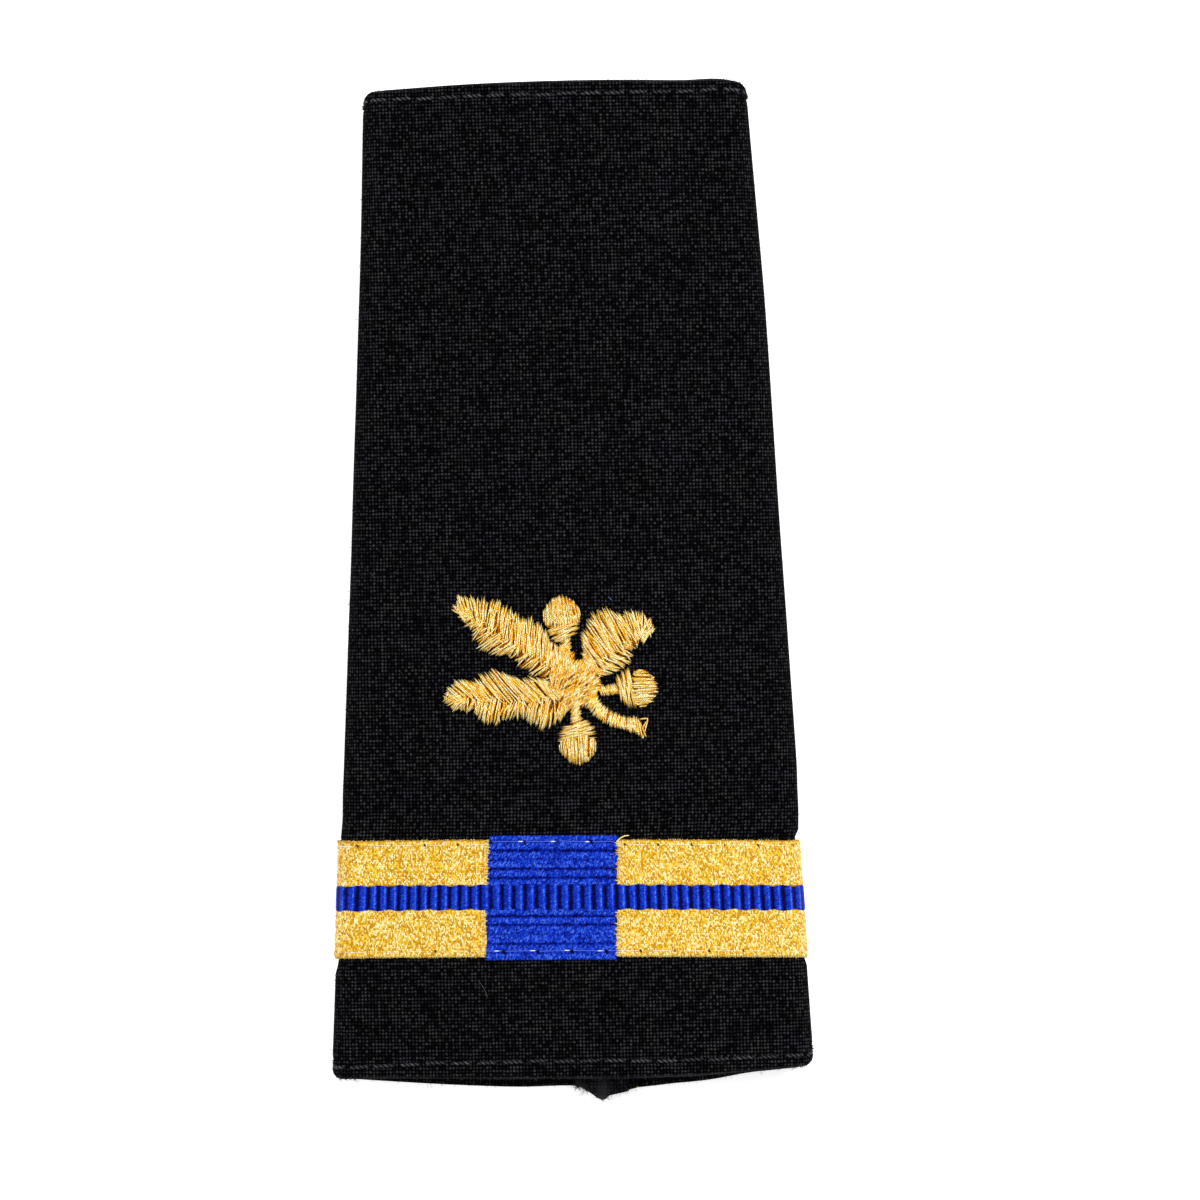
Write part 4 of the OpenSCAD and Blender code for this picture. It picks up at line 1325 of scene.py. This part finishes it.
def featherSide(form, side, lean, spacing, level, crossing, cut):
    # satin stitches from the midrib out to one edge, leaning towards the point
    length = form["length"]
    fine = np.linspace(0, 1, 400)
    edge = spotAt(form, fine, side * reachAt(form, fine, side))
    cap = lerp(edge[-1], midrib(form, 1.0), np.linspace(0, 1, 20)[1:, None])
    outline = np.concatenate([edge, cap])
    run = runOf(outline)
    places = unevenPlaces(run[-1], spacing)
    count = len(places)
    tip = pointsAt(outline, run, places)
    edgeAlong = np.interp(places, run, np.append(fine, np.ones(19)))
    fan = satin["tipFan"] * smooth((edgeAlong - 0.8) / 0.2)
    back = (reachAt(form, edgeAlong, side) * lean + fan) / length
    rootAlong = np.clip(edgeAlong - back + chance.normal(0, satin["rootSpread"], count) / length, 0.0, 0.97)
    root = spotAt(form, rootAlong, -side * chance.uniform(-0.1, crossing, count))
    late = chance.uniform(*satin["shortened"], (count, 1)) * (chance.random((count, 1)) < satin["short"])
    root = root + (tip - root) * late
    way = tip - root
    size = np.linalg.norm(way, axis=1, keepdims=True)
    heading = way / np.maximum(size, 0.1)
    clump = satin["clump"] * np.sin(places * 6.5 + 2.5 * np.sin(places * 1.7))
    clump = (clump + chance.uniform(*satin["single"], count))[:, None]
    tip = tip + heading * (clump * sprig["raggedEnd"] - cut)
    share = np.linspace(0, 1, 9)
    bow = chance.normal(0, satin["bow"], (count, 1)) * np.sin(math.pi * share)
    spots = root[:, None] + (tip - root)[:, None] * share[:, None] + leftOf(heading)[:, None] * bow[..., None]
    across = 0.78 + 0.22 * np.sin(math.pi * np.minimum(share / 0.75, 1)) - 0.7 * share**8
    height = fullHeight(form, (rootAlong + edgeAlong) / 2)[:, None] * across * level
    height = height + chance.normal(0, satin["lift"], (count, 1))
    return raise2d(spots, np.maximum(height * lerp(0.75, 1, smooth(size / 1.2)), sprig["floor"]))


def crossStitches(form, slant, spacing, level, ragged):  # right across a narrow form
    along = unevenPlaces(form["length"], spacing) / form["length"]
    size = (len(along), 1)
    share = np.linspace(-1, 1, 9)
    place = along[:, None] + slant * share * chance.uniform(*satin["crossLean"], size) / form["length"]
    left, right = [
        reachAt(form, along, side)[:, None] + chance.uniform(*satin["crossEnds"], size) * ragged
        for side in (1, -1)
    ]
    spots = spotAt(form, np.clip(place, -0.08, 1.08), -share * np.where(share < 0, left, right))
    rise = np.sqrt(np.clip(1 - np.abs(share) ** 2.5, 0, 1))
    height = fullHeight(form, along)[:, None] * rise * level
    height = height + chance.normal(0, satin["crossLift"], size)
    return raise2d(spots, np.maximum(height, sprig["floor"]))


def lengthStitches(form, spacing, level, ragged):  # along a nut, in broken runs, ragged at its point
    width = 2 * form["rows"][:, 1].max() * sprig["width"]
    count = int(width / spacing)
    across = (np.arange(count) + chance.uniform(0.2, 0.8, count)) / count * 2 - 1
    fine = np.linspace(0, 1, 60)
    reach = reachAt(form, fine, 1)
    share = np.linspace(0, 1, 7)
    paths = []
    for lane in across:
        lateral = lane * width / 2
        inside = fine[reach > abs(lateral) - 0.02]
        if len(inside) < 2:
            continue
        first = inside.min() - chance.uniform(0, 0.3) * (1 - lane**2)
        last = inside.max() + (chance.uniform(-0.8, 0.7) * ragged - 0.2) / form["length"]
        dome = math.sqrt(max(0, 1 - (0.97 * lane) ** 2))
        cuts = np.sort(chance.uniform(first, last, 2))
        for begin, finish in ((first, cuts[0] + 0.06), (cuts[0], cuts[1] + 0.06), (cuts[1], last)):
            if finish - begin < 0.08:
                continue
            along = lerp(begin, finish, share)
            spots = spotAt(form, along, lateral * (1 - satin["nutFan"] * along))
            fall = np.sqrt(np.clip((last + 0.04 - along) / 0.35, 0, 1))
            height = form["height"] * (0.1 + 0.9 * dome) * (0.1 + 0.9 * fall) * level
            height = height - 0.12 * np.abs(2 * share - 1) ** 6 + chance.normal(0, satin["nutLift"])
            paths.append(raise2d(spots, np.maximum(height, sprig["floor"])))
    return np.array(paths)


def makePad(form, profile):  # the low stuffing under the threads
    along = np.linspace(0.02, 0.98, 24)[:, None]
    left, right = [np.maximum(0.05, reachAt(form, along, side) - sprig["padInset"]) for side in (1, -1)]
    across = np.concatenate([left * (1, 0.7, 0.3), right * (0, -0.3, -0.7, -1)], 1)
    top = raise2d(spotAt(form, along, across), fullHeight(form, along) * sprig["padShare"] * profile)
    foot = raise2d(spotAt(form, along, across[:, ::-1]), 0)
    # the stuffing's strand value of -0.01 paints it with both the lower layer's shade and the painted shadow
    return makeBar(np.concatenate([top, foot], 1)[:, ::-1], np.zeros((24, 14, 2)), -0.01)


leafProfile = np.array([0.35, 0.95, 1, 0.95, 1, 0.95, 0.35])
roundProfile = np.array([0.3, 0.8, 0.97, 1, 0.97, 0.8, 0.3])


def makeSatin(name, shells):
    return makePiece(name + "_satin", shells, materials["gold"], [name])


def makeLayers(kind, stitches, form, *given):
    shells = []
    for (wide, *rest), lower in zip(layers[kind], (True, False)):
        shells.append(makeStitches(stitches(form, *given, sprig["spacing"] * wide, *rest), lower))
    return shells


def makeLeaf(name, start, end, bend, leans, openings):
    form = makeOutline(start, end, bend, leafRows[name], sprig["leafHeight"])
    shells = [makePad(form, leafProfile)]
    for side, lean, opening in zip((1, -1), leans, openings):
        spacing = sprig["spacing"] * opening
        both = [featherSide(form, side, lean, spacing * wide, *rest) for wide, *rest in layers["leaf"]]
        shells += [makeStitches(both[0], True), makeStitches(both[1])]
    makeSatin(name, shells)


def makeCrossed(name, form, slant, more=()):
    shells = [makePad(form, roundProfile), *makeLayers("crossed", crossStitches, form, slant), *more]
    makeSatin(name, shells)


def makeAcorn(which, foot, turn, cupWidth, nutLength):
    way = np.array([math.cos(math.radians(turn)), math.sin(math.radians(turn))])
    foot = np.array(foot)
    rows = np.array(cupRows) * (1, cupWidth, cupWidth)
    cup = makeOutline(foot, foot + way * sprig["cupLength"], 0, rows, sprig["acornHeight"])
    makeCrossed("cup_" + which, cup, 0.35)
    start = foot + way * (sprig["cupLength"] + sprig["gap"] / sprig["width"])
    nut = makeOutline(start, start + way * nutLength, 0, nutRows, sprig["acornHeight"])
    shells = [makePad(nut, roundProfile), *makeLayers("nut", lengthStitches, nut)]
    makeSatin("nut_" + which, shells)


def makeTwig(which, start, foot):  # it ends a little inside the cup
    start, foot = np.array(start), np.array(foot)
    stop = foot + unit(foot - start) * 0.2 / sprig["width"]
    makeCrossed("twig_" + which, makeOutline(start, stop, 0, twigRows, sprig["twigHeight"]), 0.3)


# A leaf's name, foot, point and bend; how its stitches lean and lie apart, left and right of the midrib
leaves = [
    ("leaf_upper", (-0.036, 0.039), (-0.609, 0.412), 0.01, (0.45, 0.6), (1.35, 1.0)),
    ("leaf_lower", (-0.055, -0.020), (-0.653, -0.011), 0.03, (0.25, 1.0), (1.0, 1.0)),
    ("leaf_right", (0.003, 0.052), (0.327, 0.287), 0.05, (0.1, 0.6), (1.0, 1.0)),
]
# An acorn's name, foot, direction, how wide its cup is beside the usual, and its nut's length
acorns = [
    ("top", (-0.092, 0.248), 97, 0.92, 0.126), ("right", (0.150, 0.012), 1, 1.12, 0.105),
    ("bottom", (-0.045, -0.141), -88, 1.06, 0.116),
]
twigs = {"top": (-0.079, 0.196), "right": (0.060, 0.005), "bottom": (-0.052, -0.060)}
for leaf in leaves:
    makeLeaf(*leaf)
for acorn in acorns:
    makeAcorn(*acorn)
    makeTwig(acorn[0], twigs[acorn[0]], acorn[1])


def threadLoop(spots, height):  # one thread laid along chosen points
    spots = np.array(spots) * sprig["width"]
    run = runOf(spots)
    laid = pointsAt(spots, run, np.linspace(0, run[-1], 24))
    return makeStitches(raise2d(laid, height)[None])


stem = makeOutline((0.002, 0.018), (0.260, -0.166), -0.18, stemRows, sprig["twigHeight"])
stemEdge = [(0.244, -0.13), (0.287, -0.127), (0.261, -0.22), (0.25, -0.196), (0.277, -0.142)]
stemEnd = threadLoop(stemEdge, 0.12)
makeCrossed("stem", stem, 0.3, [stemEnd])

heartRows = [
    (0, 0.03, 0.04), (0.3, 0.042, 0.09), (0.5, 0.098, 0.13), (0.75, 0.1, 0.095), (0.92, 0.07, 0.08),
    (1, 0.02, 0.06),
]
heart = {
    "start": (-0.122, 0.196), "end": (0.0, -0.052), "rise": 1.06, "turns": (92.0, 70.0, 42.0, 40.0),
    "spread": 17.0, "size": (0.8, 1.8), "layers": ((0.86, True, 300), (1.0, True, 80), (1.0, False, 230)),
}


def makeHeart():  # where the leaves and twigs meet: short stitches in several directions
    form = makeOutline(heart["start"], heart["end"], 0, heartRows, sprig["leafHeight"] * heart["rise"])
    shells = [makePad(form, leafProfile)]
    share = np.linspace(-0.5, 0.5, 7)
    # layers marked lower are painted darker as shade; the middle one lies as high as the top one
    for level, lower, count in heart["layers"]:
        along = chance.uniform(0.02, 0.98, count)
        side = chance.choice([-1, 1], count)
        reach = np.where(side > 0, reachAt(form, along, 1), reachAt(form, along, -1))
        middle = spotAt(form, along, side * reach * chance.uniform(0, 1, count) * 0.93)
        turn = np.interp(along, np.linspace(0, 1, len(heart["turns"])), heart["turns"])
        turn = np.radians(turn + chance.normal(0, heart["spread"], count))
        size = chance.uniform(*heart["size"], count)[:, None]
        way = np.stack([np.cos(turn), np.sin(turn)], -1)[:, None]
        spots = middle[:, None] + way * (size * share)[..., None]
        rise = fullHeight(form, along)[:, None] * level * (1 - 0.8 * np.abs(2 * share) ** 4)
        paths = raise2d(spots, np.maximum(rise + chance.normal(0, 0.07, (count, 1)), 0.05))
        shells.append(makeStitches(paths, lower))
    return makePiece("sprig_heart", shells, materials["gold"])


makeHeart()
print("sprig ready")
